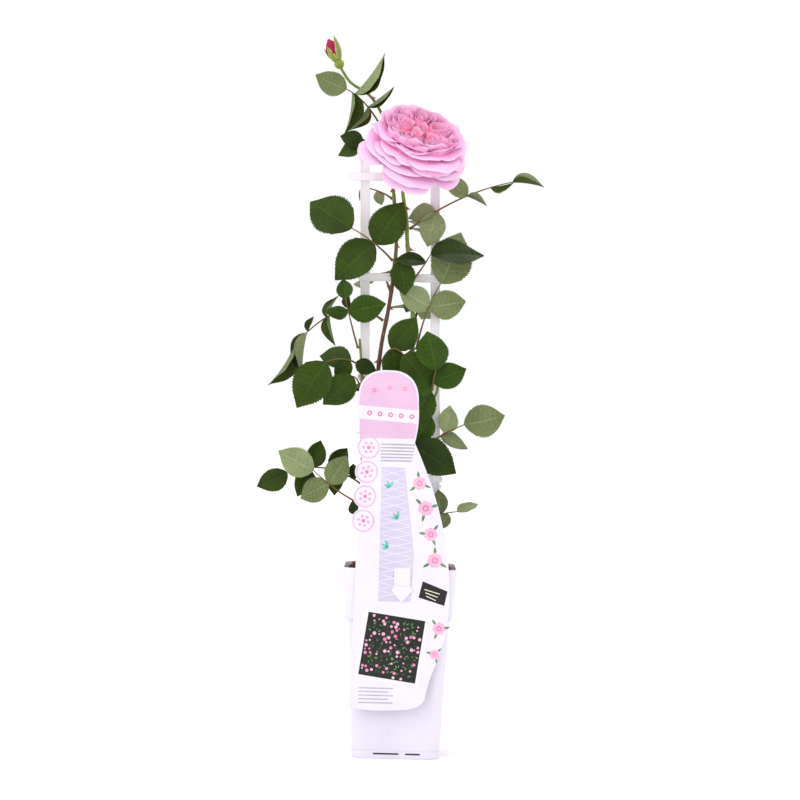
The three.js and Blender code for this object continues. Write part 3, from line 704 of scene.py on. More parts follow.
SOIL_TOP = 203.3
CANES = [
    Cane("thorny", [
        (-10, -6, SOIL_TOP), (-13, -10, 237), (-20, -13, 291), (-26, -13, 344), (-29, -13, 392),
        (-26, -13, 434), (-19, -14, 475), (-15, -14, 509), (-13, -14, 541), (-15, -13, 573),
        (-18, -13, 604), (-20, -13.5, 621), (-26, -2, 648), (-32, 2, 680), (-46, -3, 700),
        (-66, -7, 712.5), (-76, -8, 726),
    ], foot=2.7, tip=1.5, ripe=True),
    Cane("blooming", [
        (3, -5, SOIL_TOP), (2, -11, 262), (1, -13, 323), (5, -13, 377), (7, -13, 430), (5, -14, 494),
        (-1, -14, 542), (-3, -14, 570), (-6, -15, 586), (-7.4, -18.6, 597.4), (-4.25, -26.08, 608.58),
    ], foot=3, tip=1.9),
    Cane("leafy", [
        (15, -4, SOIL_TOP), (13, -12, 270), (14, -14, 334), (20, -17, 361), (34, -22, 386),
        (34, -26, 405),
    ], foot=2.4, tip=1.3),
    Cane("arching", [
        (-22, -3, SOIL_TOP), (-30, -13, 248), (-41, -17, 301), (-45, -18, 354), (-46, -18, 402),
        (-49, -18, 440),
    ], foot=2.3, tip=1.2),
]


@dataclass
class LeafPlan:
    """One compound leaf, in millimetres and degrees, by the same schedule as the solids.

    Side leaflets are (share of the stalk, bearing, length, turn), and the end leaflet is (bearing, length,
    turn). Bearings are in the leaf's own plane, from its right towards up. The folds are those of the end
    leaflet and of the side ones in order, and the last of them goes for all that follow.
    """

    name: str
    cane: str
    start: float
    reach: tuple[float, float, float]
    rise: float
    facing: tuple[float, float, float]
    end: tuple[float, float, float]
    sides: list[tuple[float, ...]]
    tone: Tone
    folds: tuple[float, ...] = (9,)
    side_tone: Tone | None = None

    def look(self, number: int) -> tuple[float, Tone]:
        """Tell how one leaflet looks."""
        tone = self.side_tone if number and self.side_tone else self.tone
        return self.folds[min(number, len(self.folds) - 1)], tone


def pairs(count: int, bearing: float, length: float, spread: float = 72) -> list[tuple[float, ...]]:
    """List the leaflet pairs of a leaf that follows the plain rule.

    Args:
        count: How many pairs.
        bearing: Where the end leaflet points, in degrees.
        length: The end leaflet's length in millimetres.
        spread: How far the pairs turn away from it.

    Returns:
        The side leaflets.
    """
    sides: list[tuple[float, ...]] = []
    for i in range(count):
        share = 0.86 - 0.34 * i
        size = length * (0.88 - 0.13 * i)
        sides += [(share, bearing - spread, size), (share, bearing + spread, size)]
    return sides


FRONT = (0.05, -1.0, 0.12)
LEAVES = [
    LeafPlan("bud", "thorny", 665, (-42, -14, 38), 5, (0.1, -1, -0.2), (160, 36, 12),
             [(0.8, 49, 54, 35), (0.85, -92, 44, 40), (0.46, 34, 36, 24), (0.45, -120, 32, 55)], Tone.PALE,
             (6, 82, 62, 82, 70), Tone.TOP),
    LeafPlan("bloom_side", "thorny", 640, (-27, 4, 9), 2, (-0.1, -1, 0.1), (163, 27, 0),
             [(0.8, -163, 35, 25), (0.5, -105, 18, 30)], Tone.TOP, (22,)),
    LeafPlan("rung_side", "thorny", 590, (-29, 16, 12), 1, (0.1, -1, 0.1), (-120, 16, 10),
             [(0.6, -74, 16, 20)], Tone.PALE),
    LeafPlan("high_right", "blooming", 558, (113, 14, 54), 7, (0, -1, -0.35), (2, 34, 78),
             [(0.27, -168, 31, 45), (0.27, -101, 38, 5), (0.57, 140, 34, 20), (0.57, -18, 24, 55),
              (0.79, 3, 25, 70)], Tone.PALE, (66, 20, 10, 40, 62, 62)),
    LeafPlan("shoulder", "blooming", 505, (20, -12, 26), -3, (0.1, -1, 0.5), (11, 60, 24),
             [(0.7, 176, 34, 28)], Tone.TOP),
    LeafPlan("left_upper", "thorny", 524, (-47, -22, 32), 2, (-0.15, -1, 0.35), (145, 62, 0),
             [(0.45, 56, 53, 10), (0.48, -136, 57, 5)], Tone.TOP),
    LeafPlan("inner", "thorny", 519, (5, -16, 4), 1, FRONT, (-78, 37, 8), [], Tone.TOP),
    LeafPlan("pale_right", "blooming", 430, (29, 2, 72), 5, (0.2, -1, -0.3), (66, 61, 5),
             [(0.62, 150, 38, 10), (0.62, 9, 43, 10)], Tone.PALE),
    LeafPlan("middle", "thorny", 416, (26, -20, 8), 10, FRONT, (-47, 50, 5),
             [(0.5, 51, 43, 10), (0.5, -78, 42, 20)], Tone.TOP),
    LeafPlan("bright", "leafy", 372, (6, -14, 37), 3, (0.1, -1, 0.25), (100, 47, 0),
             [(0.6, 25, 40, 0), (0.35, -125, 45, 10), (0.45, 176, 33, 15)], Tone.BRIGHT),
    LeafPlan("bright_low", "leafy", 345, (14, -15, 14), 2, (0.1, -1, 0.2), (-125, 32, 10), [], Tone.BRIGHT),
    LeafPlan("drooping", "thorny", 460, (-98, 12, -30), 24, (-0.1, -1, 0.1), (-115, 51, 64),
             [(0.82, -102, 48, 66), (0.8, 78, 18, 30), (0.55, -84, 33, 62), (0.58, 72, 27, 60),
              (0.3, 12, 24, 60), (0.32, 108, 26, 45)], Tone.TOP, (56, 62, 48)),
    LeafPlan("stalked", "arching", 430, (-17, -12, 52), -6, (0, -1, 0.1), (99, 24, 0),
             [(0.74, 11, 41, 18), (0.74, -173, 25, 45)], Tone.BRIGHT),
    LeafPlan("left_middle", "arching", 412, (-38, -16, 2), 5, (-0.1, -1, 0.2), (-120, 57, 5),
             [(0.25, 168, 36, 15), (0.3, -121, 26, 20), (0.12, -21, 24, 15)], Tone.TOP),
    LeafPlan("left_inner", "arching", 388, (-9, -14, 12), 2, FRONT, (-134, 44, 15), [], Tone.TOP),
    LeafPlan("low_left", "arching", 262, (-62, -6, 38), -5, (-0.1, -1, -0.1), (153, 43, 0),
             [(0.68, -153, 37, 15), (0.68, 59, 36, 5)], Tone.PALE),
    LeafPlan("low_left_back", "arching", 284, (-86, 22, 11), 12, (-0.1, -1, 0.3), (-153, 37, 25),
             [(0.68, 73, 32, 25), (0.72, -106, 33, 25), (0.46, 52, 30, 20), (0.4, -85, 27, 20),
              (0.14, 94, 18, 20)], Tone.TOP, (24,)),
    LeafPlan("low_right", "leafy", 322, (52, 12, 30), 2, (0.1, -1, 0.1), (15, 48, 0),
             [(0.6, 78, 31, 15), (0.5, -16, 33, 45)], Tone.PALE),
    LeafPlan("big_dark", "leafy", 312, (-3, -24, 18), 3, (0.1, -1, 0.25), (-31, 55, 5), [], Tone.TOP),
    LeafPlan("rim_right", "leafy", 246, (46, -14, 14), 2, (0.1, -1, 0.1), (29, 25, 55),
             [(0.75, -111, 19, 10), (0.6, 99, 27, 25)], Tone.PALE),
    LeafPlan("rim_left", "arching", 232, (-20, -16, 22), 1, (-0.1, -1, 0.1), (110, 22, 20),
             [(0.8, -80, 20, 20)], Tone.TOP),
    LeafPlan("back_high", "blooming", 536, (-8, 62, 34), 8, (0.1, -0.1, 1), (88, 46, 0),
             pairs(2, 88, 46), Tone.TOP),
    LeafPlan("back_left", "thorny", 492, (-24, 66, 12), 12, (-0.3, -0.1, 1), (110, 48, 0),
             pairs(2, 110, 48), Tone.TOP),
    LeafPlan("back_right", "blooming", 462, (22, 62, 8), 12, (0.3, 0.1, 1), (62, 48, 0),
             pairs(2, 62, 48), Tone.TOP),
    LeafPlan("back_middle", "thorny", 366, (4, 70, 18), 12, (0.1, 0.2, 1), (88, 50, 0),
             pairs(2, 88, 50), Tone.TOP),
    LeafPlan("back_low", "leafy", 266, (10, 68, 20), 8, (0.2, 0.2, 1), (84, 48, 0),
             pairs(2, 84, 46), Tone.BRIGHT),
    LeafPlan("back_low_left", "arching", 326, (52, 66, 20), 10, (0.1, 0.2, 1), (76, 46, 0),
             pairs(2, 76, 46), Tone.TOP),
]


class Leaflet:
    """A finely toothed blade whose rows of points run along its side veins."""

    BROAD = 0.74
    FOLD = 0.16
    CURL = 0.16
    VEINS = 8
    STEPS = (0.0, 0.06, 0.21, 0.37, 0.53, 0.69, 0.85)
    ACROSS = (0.0, 0.035, 0.16, 0.33, 0.5, 0.66, 0.8, 0.91, 1.0)
    LIFT = 0.00022
    TAPER = 0.42

    @staticmethod
    def half_width(share: np.ndarray) -> np.ndarray:
        """Give the outline's half width as a share of its greatest."""
        inside = np.clip(share, 0, 1)
        return np.sin(np.pi * inside**0.82) ** 0.78

    def __init__(self, random: Stream) -> None:
        """Pick the small differences of one blade.

        Args:
            random: Where the differences come from.
        """
        self.skew = random.between(-0.05, 0.05)
        self.ripple = random.between(0.6, 1.4)
        self.phase = random.between(0, tau)
        self.bend = random.between(-0.05, 0.07)

    def add_to(
        self,
        draft: MeshDraft,
        root: Vector,
        along: Vector,
        face: Vector,
        length: float,
        tones: Sequence[int],
        fold: float,
    ) -> None:
        """Add the blade's upper and lower skins to a mesh.

        Args:
            draft: The mesh.
            root: Where the blade starts.
            along: Which way it points.
            face: Which way its upper side looks.
            length: How long it is.
            tones: The material slots of its blade and veins, in front and behind.
            fold: How far each half is folded up along the midrib, in degrees.
        """
        across = along.cross(face).normalized()
        normal = across.cross(along).normalized()
        v = np.array([(k + step) / self.VEINS for k in range(self.VEINS) for step in self.STEPS] + [1.0])
        u = np.array([-x for x in reversed(self.ACROSS[1:])] + list(self.ACROSS[1:]))
        vv, uu = np.meshgrid(v, u, indexing="ij")
        side = np.abs(uu)
        share = np.clip(vv + 0.17 * side**1.25 * (1 - vv) * np.clip(vv * 9, 0, 1), 0, 1)
        teeth = np.array([(0.0, 0.5, 1.0)[i % 3] for i in range(len(v))])[:, None]
        tooth = (teeth - 0.4) * 0.1 * np.clip(vv * 8, 0, 1) * np.clip((1 - vv) * 9, 0.25, 1)
        edge = np.clip((side - 0.86) / 0.14, 0, 1)
        half = self.half_width(share) * self.BROAD / 2
        half = half * (1 - self.TAPER * np.clip((share - 0.7) / 0.3, 0, 1) ** 2)
        width = half * (1 + tooth * edge) * length
        within = (vv * self.VEINS) % 1.0
        pucker = np.sin(np.pi * within) ** 0.7 * side**0.6 * (1.12 - side)
        ripple = np.sin(vv * 9 * self.ripple + self.phase + uu * 1.6) * side**2
        turned_up = radians(fold)
        lift = (
            half * length * side**1.15 * sin(turned_up) * (1 - 0.4 * share)
            + 0.012 * length * pucker
            + 0.014 * length * ripple
            - length * self.CURL * share**2
            + length * self.bend * (share - share**2)
        )
        midrib = np.exp(-((side / 0.06) ** 2)) * (1 - share) ** 0.5
        sideways = uu * width * cos(turned_up) + length * self.skew * np.sin(np.pi * share) * 0.4
        forward = share * length
        basis = np.array([tuple(across), tuple(along), tuple(normal)])
        start = np.array(tuple(root))
        columns = len(u)
        faces = grid_faces(len(v), columns)
        middle = columns // 2 - 1
        veins = [
            c == middle or (r % len(self.STEPS) == 0 and 0 < r and 1 <= c <= columns - 3)
            for r in range(len(v) - 1)
            for c in range(columns - 1)
        ]
        skins = (
            (lift - 0.007 * length * midrib, False, 0),
            (lift - self.LIFT * 2 - 0.014 * length * midrib * (1 - 0.4 * share), True, 2),
        )
        for height, turned, base in skins:
            cloud = np.stack([sideways, forward, height], axis=-1).reshape(-1, 3)
            skin_faces = [tuple(reversed(f)) for f in faces] if turned else faces
            draft.add(start + cloud @ basis, skin_faces, [tones[base + int(on)] for on in veins])


class SolidCorners:
    """The corners of a leaf's solid, to tell which of the rule's trials it was built from."""

    def __init__(self, node: Item) -> None:
        """Args:
            node: The solid's object.
        """
        self.tree = KDTree(len(node.data.vertices))
        for i, vertex in enumerate(node.data.vertices):
            self.tree.insert(node.matrix_world @ vertex.co, i)
        self.tree.balance()

    def ring_miss(self, centre: Vector, radius: float, sides: int) -> float:
        """Tell how badly the nearest corners miss a ring round a point."""
        return sum(abs(reach - radius) for _, _, reach in self.tree.find_n(centre, sides)) / sides

    def blade_miss(self, root: Vector, along: Vector, face: Vector, length: float) -> float:
        """Tell how badly the corners miss a blade's tip and the two edges of its widest ring but one.

        Args:
            root: Where the blade starts.
            along: Which way it points.
            face: Which way its upper side looks.
            length: Its length.

        Returns:
            The middle one of the three misses, so that one hidden corner doesn't count.
        """
        across = along.cross(face).normalized()
        normal = across.cross(along).normalized()
        share = 0.58
        half = length * Leaflet.BROAD / 2 * float(Leaflet.half_width(np.array(share)))
        middle = root + along * (length * share) - normal * (length * Leaflet.CURL * share * share)
        lift = normal * (half * Leaflet.FOLD * (1 - 0.4 * share))
        tests = [
            root + along * length - normal * (length * Leaflet.CURL),
            middle - across * half + lift,
            middle + across * half + lift,
        ]
        return sorted(self.tree.find(point)[2] for point in tests)[1]


@dataclass
class LeafGrower:
    """Grows the compound leaves by the schedule, and joins their blades and their stalks, each kind apart."""

    materials: dict[str, Material]
    canes: dict[str, Cane]
    gap: float = 0.3 * MM
    shifts: tuple[float, ...] = (0, -4, 4, -8, 8, -12, 12, -17, 17, -22, 22, -28, 28)
    clears: tuple[float, ...] = (0.15, 0.5, 0.9, 1.4, 2)
    leans: tuple[float, ...] = (0, 8, -8, 16, -16, 26, -26, 38, -38, 50, -50)
    rachis: float = 1.15 * MM
    foot_radius: float = 1.15 * 1.35 * MM
    foot_sides: int = 4
    found: float = 0.1 * MM

    BLADES = (
        "leaf_top", "vein_top", "leaf_deep", "vein_deep", "leaf_bright", "vein_bright", "leaf_under",
        "vein_under", "leaf_olive", "vein_olive",
    )
    STALKS = ("stalk", "stalk_green", "stipule")
    TOP, DEEP, BRIGHT, UNDER, OLIVE = (0, 1), (2, 3), (4, 5), (6, 7), (8, 9)
    OLIVE_SHARE = 0.4
    DEEP_SHARE = 0.42
    GREEN_STALKS = 0.38
    GROUP_FACES = 80000
    INSET = 0.99

    def tones(self, tone: Tone, random: Stream) -> tuple[int, int, int, int]:
        """Deal out a blade's colours.

        Args:
            tone: The leaf's tone.
            random: Where the choice comes from.

        Returns:
            The slots of blade and veins, in front and behind.
        """
        under = self.UNDER if random() < 1 - self.OLIVE_SHARE else self.OLIVE
        top = self.DEEP if random() < self.DEEP_SHARE else self.TOP
        if tone is Tone.PALE:
            return (*under, *top)
        return (*self.BRIGHT, *under) if tone is Tone.BRIGHT else (*top, *under)

    def stalk_points(self, plan: LeafPlan, shift: float, clear: float) -> tuple[Vector, Vector, Vector]:
        """Lay out the three control points of a stalk.

        Args:
            plan: The leaf.
            shift: How far its tip moves back, in millimetres.
            clear: How far its foot stands off, in millimetres.

        Returns:
            The start, the control point and the tip.
        """
        point, radius, _ = self.canes[plan.cane].at_height(plan.start * MM)
        reach = mm(plan.reach) + Vector((0, shift * MM, 0))
        tip = point + reach
        middle = point + reach * 0.5 + Vector((0, 0, plan.rise * MM))
        flat = Vector((middle.x - point.x, middle.y - point.y, 0)).normalized()
        start = point + flat * (radius + self.gap + clear * MM)
        return start, middle * 2 - (start + tip) * 0.5, tip

    @staticmethod
    def on_curve(points: Sequence[Vector], share: float) -> Vector:
        """Give a point on a stalk by its share of the length.

        Args:
            points: The stalk's three control points.
            share: From 0 to 1.

        Returns:
            The point.
        """
        a, b, c = points
        table = [a * (1 - t) ** 2 + b * (2 * t * (1 - t)) + c * t * t for t in np.linspace(0, 1, 61)]
        steps = np.concatenate([[0], np.cumsum([(q - p).length for p, q in zip(table, table[1:])])])
        at = share * steps[-1]
        return Vector([float(np.interp(at, steps, [p[k] for p in table])) for k in range(3)])

    @staticmethod
    def leaf_plane(facing: Sequence[float]) -> tuple[Vector, Vector, Vector]:
        """Give the plane of a leaf.

        Args:
            facing: Which way its blades look.

        Returns:
            The normal, the right and the up of the plane.
        """
        normal = Vector(facing).normalized()
        right = Vector((0, 0, 1)).cross(normal).normalized()
        return normal, right, normal.cross(right)

    def grow(self, plan: LeafPlan, index: int, blades: MeshDraft, stalks: MeshDraft) -> None:
        """Grow one compound leaf.

        Args:
            plan: The leaf.
            index: Its place in the schedule.
            blades: Takes its blades.
            stalks: Takes its stalk and stipules.
        """
        corners = SolidCorners(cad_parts[f"leaf_{plan.name}"])
        routes = [self.stalk_points(plan, shift, clear) for shift in self.shifts for clear in self.clears]
        misses = [corners.ring_miss(route[0], self.foot_radius, self.foot_sides) for route in routes]
        route = routes[int(np.argmin(misses))]
        random = Stream(SEED + 31 * index)
        normal, right, up = self.leaf_plane(plan.facing)
        self._stalk(stalks, route, random)
        for number, (share, bearing, length, *rest) in enumerate([(1.0, *plan.end), *plan.sides]):
            turn = rest[0] if rest else 0
            root = self.on_curve(route, min(share, 0.985))
            heading = radians(bearing)
            options = []
            for lean in self.leans:
                tilt = radians(lean + 4 * sin(3 * number + plan.start))
                along = (
                    right * (cos(heading) * cos(tilt))
                    + up * (sin(heading) * cos(tilt))
                    - normal * sin(tilt)
                )
                face = Matrix.Rotation(radians(turn if number % 2 else -turn), 3, along) @ normal
                size = length * MM / cos(radians(lean) * 0.6)
                options.append((corners.blade_miss(root, along, face, size), along, face, size))
            miss, along, face, size = min(options, key=lambda option: option[0])
            if miss > self.found:
                continue
            fold, tone = plan.look(number)
            leaflet = Leaflet(random)
            tones = self.tones(tone, random)
            leaflet.add_to(blades, root, along, face, size * self.INSET, tones, fold)

    def build(self) -> None:
        """Grow every leaf, and hand over the blades in groups and the stalks in one piece."""
        stalks = MeshDraft()
        blades = MeshDraft()
        waiting: list[str] = []
        groups = 0
        for index, plan in enumerate(LEAVES):
            self.grow(plan, index, blades, stalks)
            waiting.append(f"leaf_{plan.name}")
            if len(blades.faces) > self.GROUP_FACES or plan is LEAVES[-1]:
                groups += 1
                item = blades.build(f"leaves_{groups}", [self.materials[name] for name in self.BLADES])
                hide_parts(*waiting)
                blades, waiting = MeshDraft(), []
        item = stalks.build("leaf_stalks", [self.materials[name] for name in self.STALKS])

    def _stalk(self, draft: MeshDraft, route: Sequence[Vector], random: Stream) -> None:
        """Add the grooved stalk, its swollen foot and the pair of stipules on it.

        Args:
            draft: The mesh.
            route: The stalk's control points.
            random: Where the differences come from.
        """

        def radius(share: float, turn: float) -> float:
            """Give the stalk's radius.

            Args:
                share: The share of the way to the tip.
                turn: The angle round it.

            Returns:
                The radius in metres.
            """
            groove = 1 - 0.16 * max(0.0, cos(turn)) ** 6
            foot = 0.5 * max(0.0, 1 - share / 0.06)
            return self.rachis * (1.12 - 0.6 * share + foot) * groove * 0.92

        points, faces = sweep(lambda t: self.on_curve(route, t), radius, 26, 12)
        draft.add(points, faces, 0 if random() < 1 - self.GREEN_STALKS else 1)
        along = (self.on_curve(route, 0.14) - self.on_curve(route, 0.0)).normalized()
        side = along.cross(Vector((0, 0, 1)))
        side = side.normalized() if side.length > 1e-3 else Vector((0, 1, 0))
        reach = (self.on_curve(route, 1) - self.on_curve(route, 0)).length
        size = min(8 * MM, reach * 0.3)
        for sign in (-1, 1):
            rows = 8
            strip = []
            for r in range(rows + 1):
                t = r / rows
                middle = self.on_curve(route, 0.02) + along * (size * t) + side * (sign * 0.7 * MM)
                swell = 1.3 * sin(pi * min(1.0, 0.25 + t * 0.75)) * MM
                wing = side * (sign * (swell + 0.9 * MM * t * t))
                strip += [middle, middle + wing * 0.6, middle + wing]
            draft.add(strip, grid_faces(rows + 1, 3), 2)


# ---- canes


@dataclass
class CaneBuilder:
    """Dresses a cane with bark relief, leaf scars and hooked prickles."""

    bark: Material
    prickle: Material
    sides: int = 28
    pitch: float = 27.0
    hook: float = 0.55
    root: float = 2.6
    length: float = 5.2
    first: float = 234.0
    bare_top: float = 22.0
    scar: float = 5.5
    step: float = 1.3

    def build(self, cane: Cane, scars: Sequence[float]) -> Item:
        """Build one cane.

        Args:
            cane: The cane.
            scars: The heights of its leaves, in metres.

        Returns:
            The cane's object, which stands for its solid.
        """
        bands = [(height, self.scar * MM) for height in scars]

        def radius(share: float, turn: float) -> float:
            """Give the radius with its ridges and swellings.

            Args:
                share: The share of the cane's length.
                turn: The angle round it.

            Returns:
                The radius in metres.
            """
            height = cane.curve.point(share).z
            swell = sum(0.13 * exp(-(((height - z) / w) ** 2)) for z, w in bands)
            ridges = 0.035 * sin(5 * turn + 40 * share) + 0.02 * sin(9 * turn - 90 * share)
            ring = sum(0.05 * exp(-(((height - z + 0.002) / 0.0012) ** 2)) for z, _ in bands)
            return cane.radius(share) * (0.97 + swell + ridges + ring)

        draft = MeshDraft()
        steps = int(cane.curve.length / (self.step * MM))
        points, faces = sweep(cane.curve.point, radius, steps, self.sides)
        points[:, 2] = np.maximum(points[:, 2], (SOIL_TOP - 0.2) * MM)
        draft.add(points, faces, 0)
        random = Stream(SEED + len(cane.name))
        top = cane.way[-1][2]
        side = random() * 360
        z = self.first
        while z < top - self.bare_top:
            point, thick, tangent = cane.at_height(z * MM)
            side += 110 + 70 * random()
            turn = radians(side)
            flat = Vector((cos(turn), sin(turn), 0))
            outward = (flat - tangent * flat.dot(tangent)).normalized()
            size = self.length * (0.75 + 0.4 * random()) * MM
            self._prickle(draft, point, thick, tangent, outward, size)
            z += self.pitch * (0.7 + 0.6 * random())
        item = draft.build(f"cane_{cane.name}_bark", [self.bark, self.prickle])
        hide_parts(f"cane_{cane.name}")
        return item

    def _prickle(
        self, draft: MeshDraft, point: Vector, thick: float, tangent: Vector, outward: Vector, size: float
    ) -> None:
        """Add one prickle with a long foot and a hooked tip.

        Args:
            draft: The mesh.
            point: The cane's middle.
            thick: The cane's radius.
            tangent: The cane's direction.
            outward: Which way the prickle points.
            size: How far it stands out.
        """
        down = -tangent
        across = outward.cross(down).normalized()
        rings, corners = 9, 12
        points = []
        for r in range(rings):
            t = r / (rings - 1)
            centre = point + outward * (thick * 0.6 + (size + thick * 0.4) * t)
            centre = centre + down * (size * self.hook * t**1.7)
            long_half = self.root * MM * (1 - t) ** 1.35 + 0.00005
            wide_half = self.root * MM * 0.42 * (1 - t) ** 1.1 + 0.00004
            for k in range(corners):
                turn = tau * k / corners
                flat = centre + down * (cos(turn) * long_half)
                points.append(flat + across * (sin(turn) * wide_half))
        draft.add(points, ring_faces(rings, corners, first=False), 1)


# ---- bloom and bud


@dataclass(frozen=True)
class Whorl:
    """One ring of petals on a bowl.

    The foot, belly and rim are each a radius and a height in millimetres. The start is an angle in degrees,
    the finish is a material slot, and the share is each petal's width over its even part of the ring.
    """

    petals: int
    foot: tuple[float, float]
    belly: tuple[float, float]
    rim: tuple[float, float]
    start: float
    finish: int
    ruffle: float
    roll: float
    share: float = 1.15
    cleft: float = 0.0


WHORLS = [
    Whorl(5, (10, -22), (44, -8), (57, -21), 22, 0, 2.2, 1.8, 1.04, 0.11),
    Whorl(4, (10, -18), (46, -3), (57.5, -14), 70, 0, 2.2, 1.6, 1.0, 0.05),
    Whorl(5, (12, -14), (47, 5), (57, -6), 14, 0, 2.0, 1.4, 1.14, 0.04),
    Whorl(5, (12, -11), (46, 11), (56, 0), 50, 0, 2.0, 1.3, 1.1, 0.05),
    Whorl(5, (12, -8), (43, 18), (54, 8), 2, 1, 1.9, 1.2, 1.16, 0.04),
    Whorl(5, (12, -5), (40, 21), (50.5, 14.5), 40, 1, 1.9, 1.1, 1.14, 0.05),
    Whorl(6, (11, -3), (38, 20), (47.5, 20), 12, 1, 1.8, 1.0, 1.2, 0.04),
    Whorl(6, (11, 0), (37, 14), (44.5, 25), 44, 2, 1.7, 0.9, 1.2, 0.04),
    Whorl(7, (10, 2), (34, 10), (40.5, 27), 20, 2, 1.7, 0.8, 1.1, 0.05),
]


@dataclass
class Bloom:
    """The open flower: broad layered petals outside, and a quartered heart of folded ones."""

    materials: list[Material]
    rows: int = 18
    columns: int = 30
    quarters: int = 5

    MIDDLE, HEART, EDGE = 1, 2, 3
    HEART_FLOOR = 4

    def __post_init__(self) -> None:
        """Lay out the plane of the flower."""
        self.middle = mm(BLOOM_CENTRE)
        self.out = Vector(BLOOM_AXIS).normalized()
        self.right = Vector((0, 0, 1)).cross(self.out).normalized()
        self.up = self.out.cross(self.right)

    def place(self, radius: float, height: float, turn: float) -> Vector:
        """Turn a place in the flower into a point."""
        around = self.right * cos(turn) + self.up * sin(turn)
        return self.middle + around * radius + self.out * height

    def petal(self, draft: MeshDraft, whorl: Whorl, turn: float, random: Stream) -> None:
        """Add one petal.

        Args:
            draft: The mesh.
            whorl: Its whorl.
            turn: The angle of its middle.
            random: Where the differences come from.
        """
        size = random.between(0.91, 1.03)
        lifted = random.between(-2.6, 2.4)
        waves = random.between(0.9, 1.9)
        phase = random.between(0, tau)
        fine_phase = random.between(0, tau)
        notch = random.between(0.0, 0.07)
        notch_at = random.between(-0.4, 0.4)
        lean = random.between(-4.2, 4.2)
        slant = random.between(-0.12, 0.12)
        point = random.between(-0.03, 0.07)
        roll = whorl.roll * random.between(0.5, 1.35)
        width = tau / whorl.petals * whorl.share * random.between(0.72, 1.3)
        steep = abs(whorl.rim[1] - whorl.belly[1]) / (abs(whorl.rim[0] - whorl.belly[0]) + 3)
        upright = min(0.85, steep / (1 + steep))
        points = []
        for r in range(self.rows + 1):
            s = r / self.rows
            for c in range(self.columns + 1):
                t = 2 * c / self.columns - 1
                shoulder = sqrt(1 - (0.5 + 2.2 * whorl.cleft) * t**4)
                shoulder *= 1 - notch * exp(-(((t - notch_at) / 0.13) ** 2))
                shoulder *= 1 + point * exp(-(((t + notch_at) / 0.24) ** 2))
                reach = s * shoulder
                a, b, d = (1 - reach) ** 2, 2 * reach * (1 - reach), reach * reach
                radius = a * whorl.foot[0] + b * whorl.belly[0] + d * whorl.rim[0] * size
                height = a * whorl.foot[1] + b * whorl.belly[1] + d * (whorl.rim[1] + lifted)
                wave = whorl.ruffle * s**2.2 * sin(waves * pi * t + phase)
                wave += 0.28 * whorl.ruffle * s**5 * sin(6.3 * t + fine_phase + 2 * s)
                fold = roll * max(0.0, s - 0.68) ** 2 / 0.1
                overlap = lean * t * s * 0.6 + 1.3 * abs(t) ** 3 * s
                swing = turn + t * width / 2 * (0.6 + 0.4 * sin(pi * s * 0.62)) + slant * s
                radius += (wave + overlap) * upright - fold * 0.2 + fold * upright
                height += (wave + overlap) * (1 - upright) - fold * (0.85 - 0.35 * upright)
                points.append(self.place(radius * MM, height * MM, swing))
        self._add_blade(draft, points, self.rows, self.columns, whorl.finish)

    def _add_blade(self, draft: MeshDraft, points: list[Vector], rows: int, columns: int, slot: int) -> None:
        """Add a petal's skin, with its last row in the paler finish of the rim."""
        slots = [self.EDGE if r == rows - 1 else slot for r in range(rows) for _ in range(columns)]
        draft.add(points, grid_faces(rows + 1, columns + 1), slots)

    def fold(
        self, draft: MeshDraft, nest: tuple[float, float], radii: tuple[float, float], sweep_from: float,
        span: float, top: float, random: Stream,
    ) -> None:
        """Add one folded petal that stands round a nest of the heart.

        Args:
            draft: The mesh.
            nest: The nest's middle across the flower, in millimetres.
            radii: The fold's half width away from the axis and along the ring.
            sweep_from: The angle that it starts at.
            span: The angle that it covers.
            top: The height of its rim.
            random: Where the differences come from.
        """
        rows, columns, floor = 10, 34, self.HEART_FLOOR
        heading = atan2(nest[1], nest[0])
        waves = random.between(2.0, 4.2)
        phase = random.between(0, tau)
        dip = random.between(-1.4, 1.4)
        flare = random.between(1.0, 2.6)
        points = []
        for r in range(rows + 1):
            s = r / rows
            for c in range(columns + 1):
                t = c / columns
                turn = sweep_from + span * t
                ends = sqrt(max(0.0, 1 - (2 * t - 1) ** 6))
                wave = 0.75 * s**1.5 * sin(waves * tau * t + phase)
                out = 1 + (flare * (s**2) + wave) / (radii[1] + 3)
                x, y = radii[0] * out * cos(turn), radii[1] * out * sin(turn)
                px = nest[0] + x * cos(heading) - y * sin(heading)
                py = nest[1] + x * sin(heading) + y * cos(heading)
                rise = top - floor + dip * (2 * t - 1) + 0.5 * sin(9 * t + phase)
                height = floor + rise * (0.72 + 0.28 * ends) * s - 0.9 * flare * max(0.0, s - 0.8) ** 2 * 9
                points.append(self.place(hypot(px, py) * MM, height * MM, atan2(py, px)))
        self._add_blade(draft, points, rows, columns, self.HEART)

    def receptacle(self, draft: MeshDraft) -> None:
        """Close the flower below its petals, so that no light comes through between them.

        Args:
            draft: The mesh.
        """
        profile = [
            (2, -24), (14, -22), (30, -14), (38, -4), (39, 6),
            (37, 13), (33, 17), (26, 18), (10, 17.5), (1, 17.5),
        ]
        columns = 48
        points = [
            self.place(radius * MM, height * MM, tau * c / columns)
            for radius, height in profile
            for c in range(columns)
        ]
        draft.add(points, grid_faces(len(profile), columns, closed=True), self.MIDDLE)

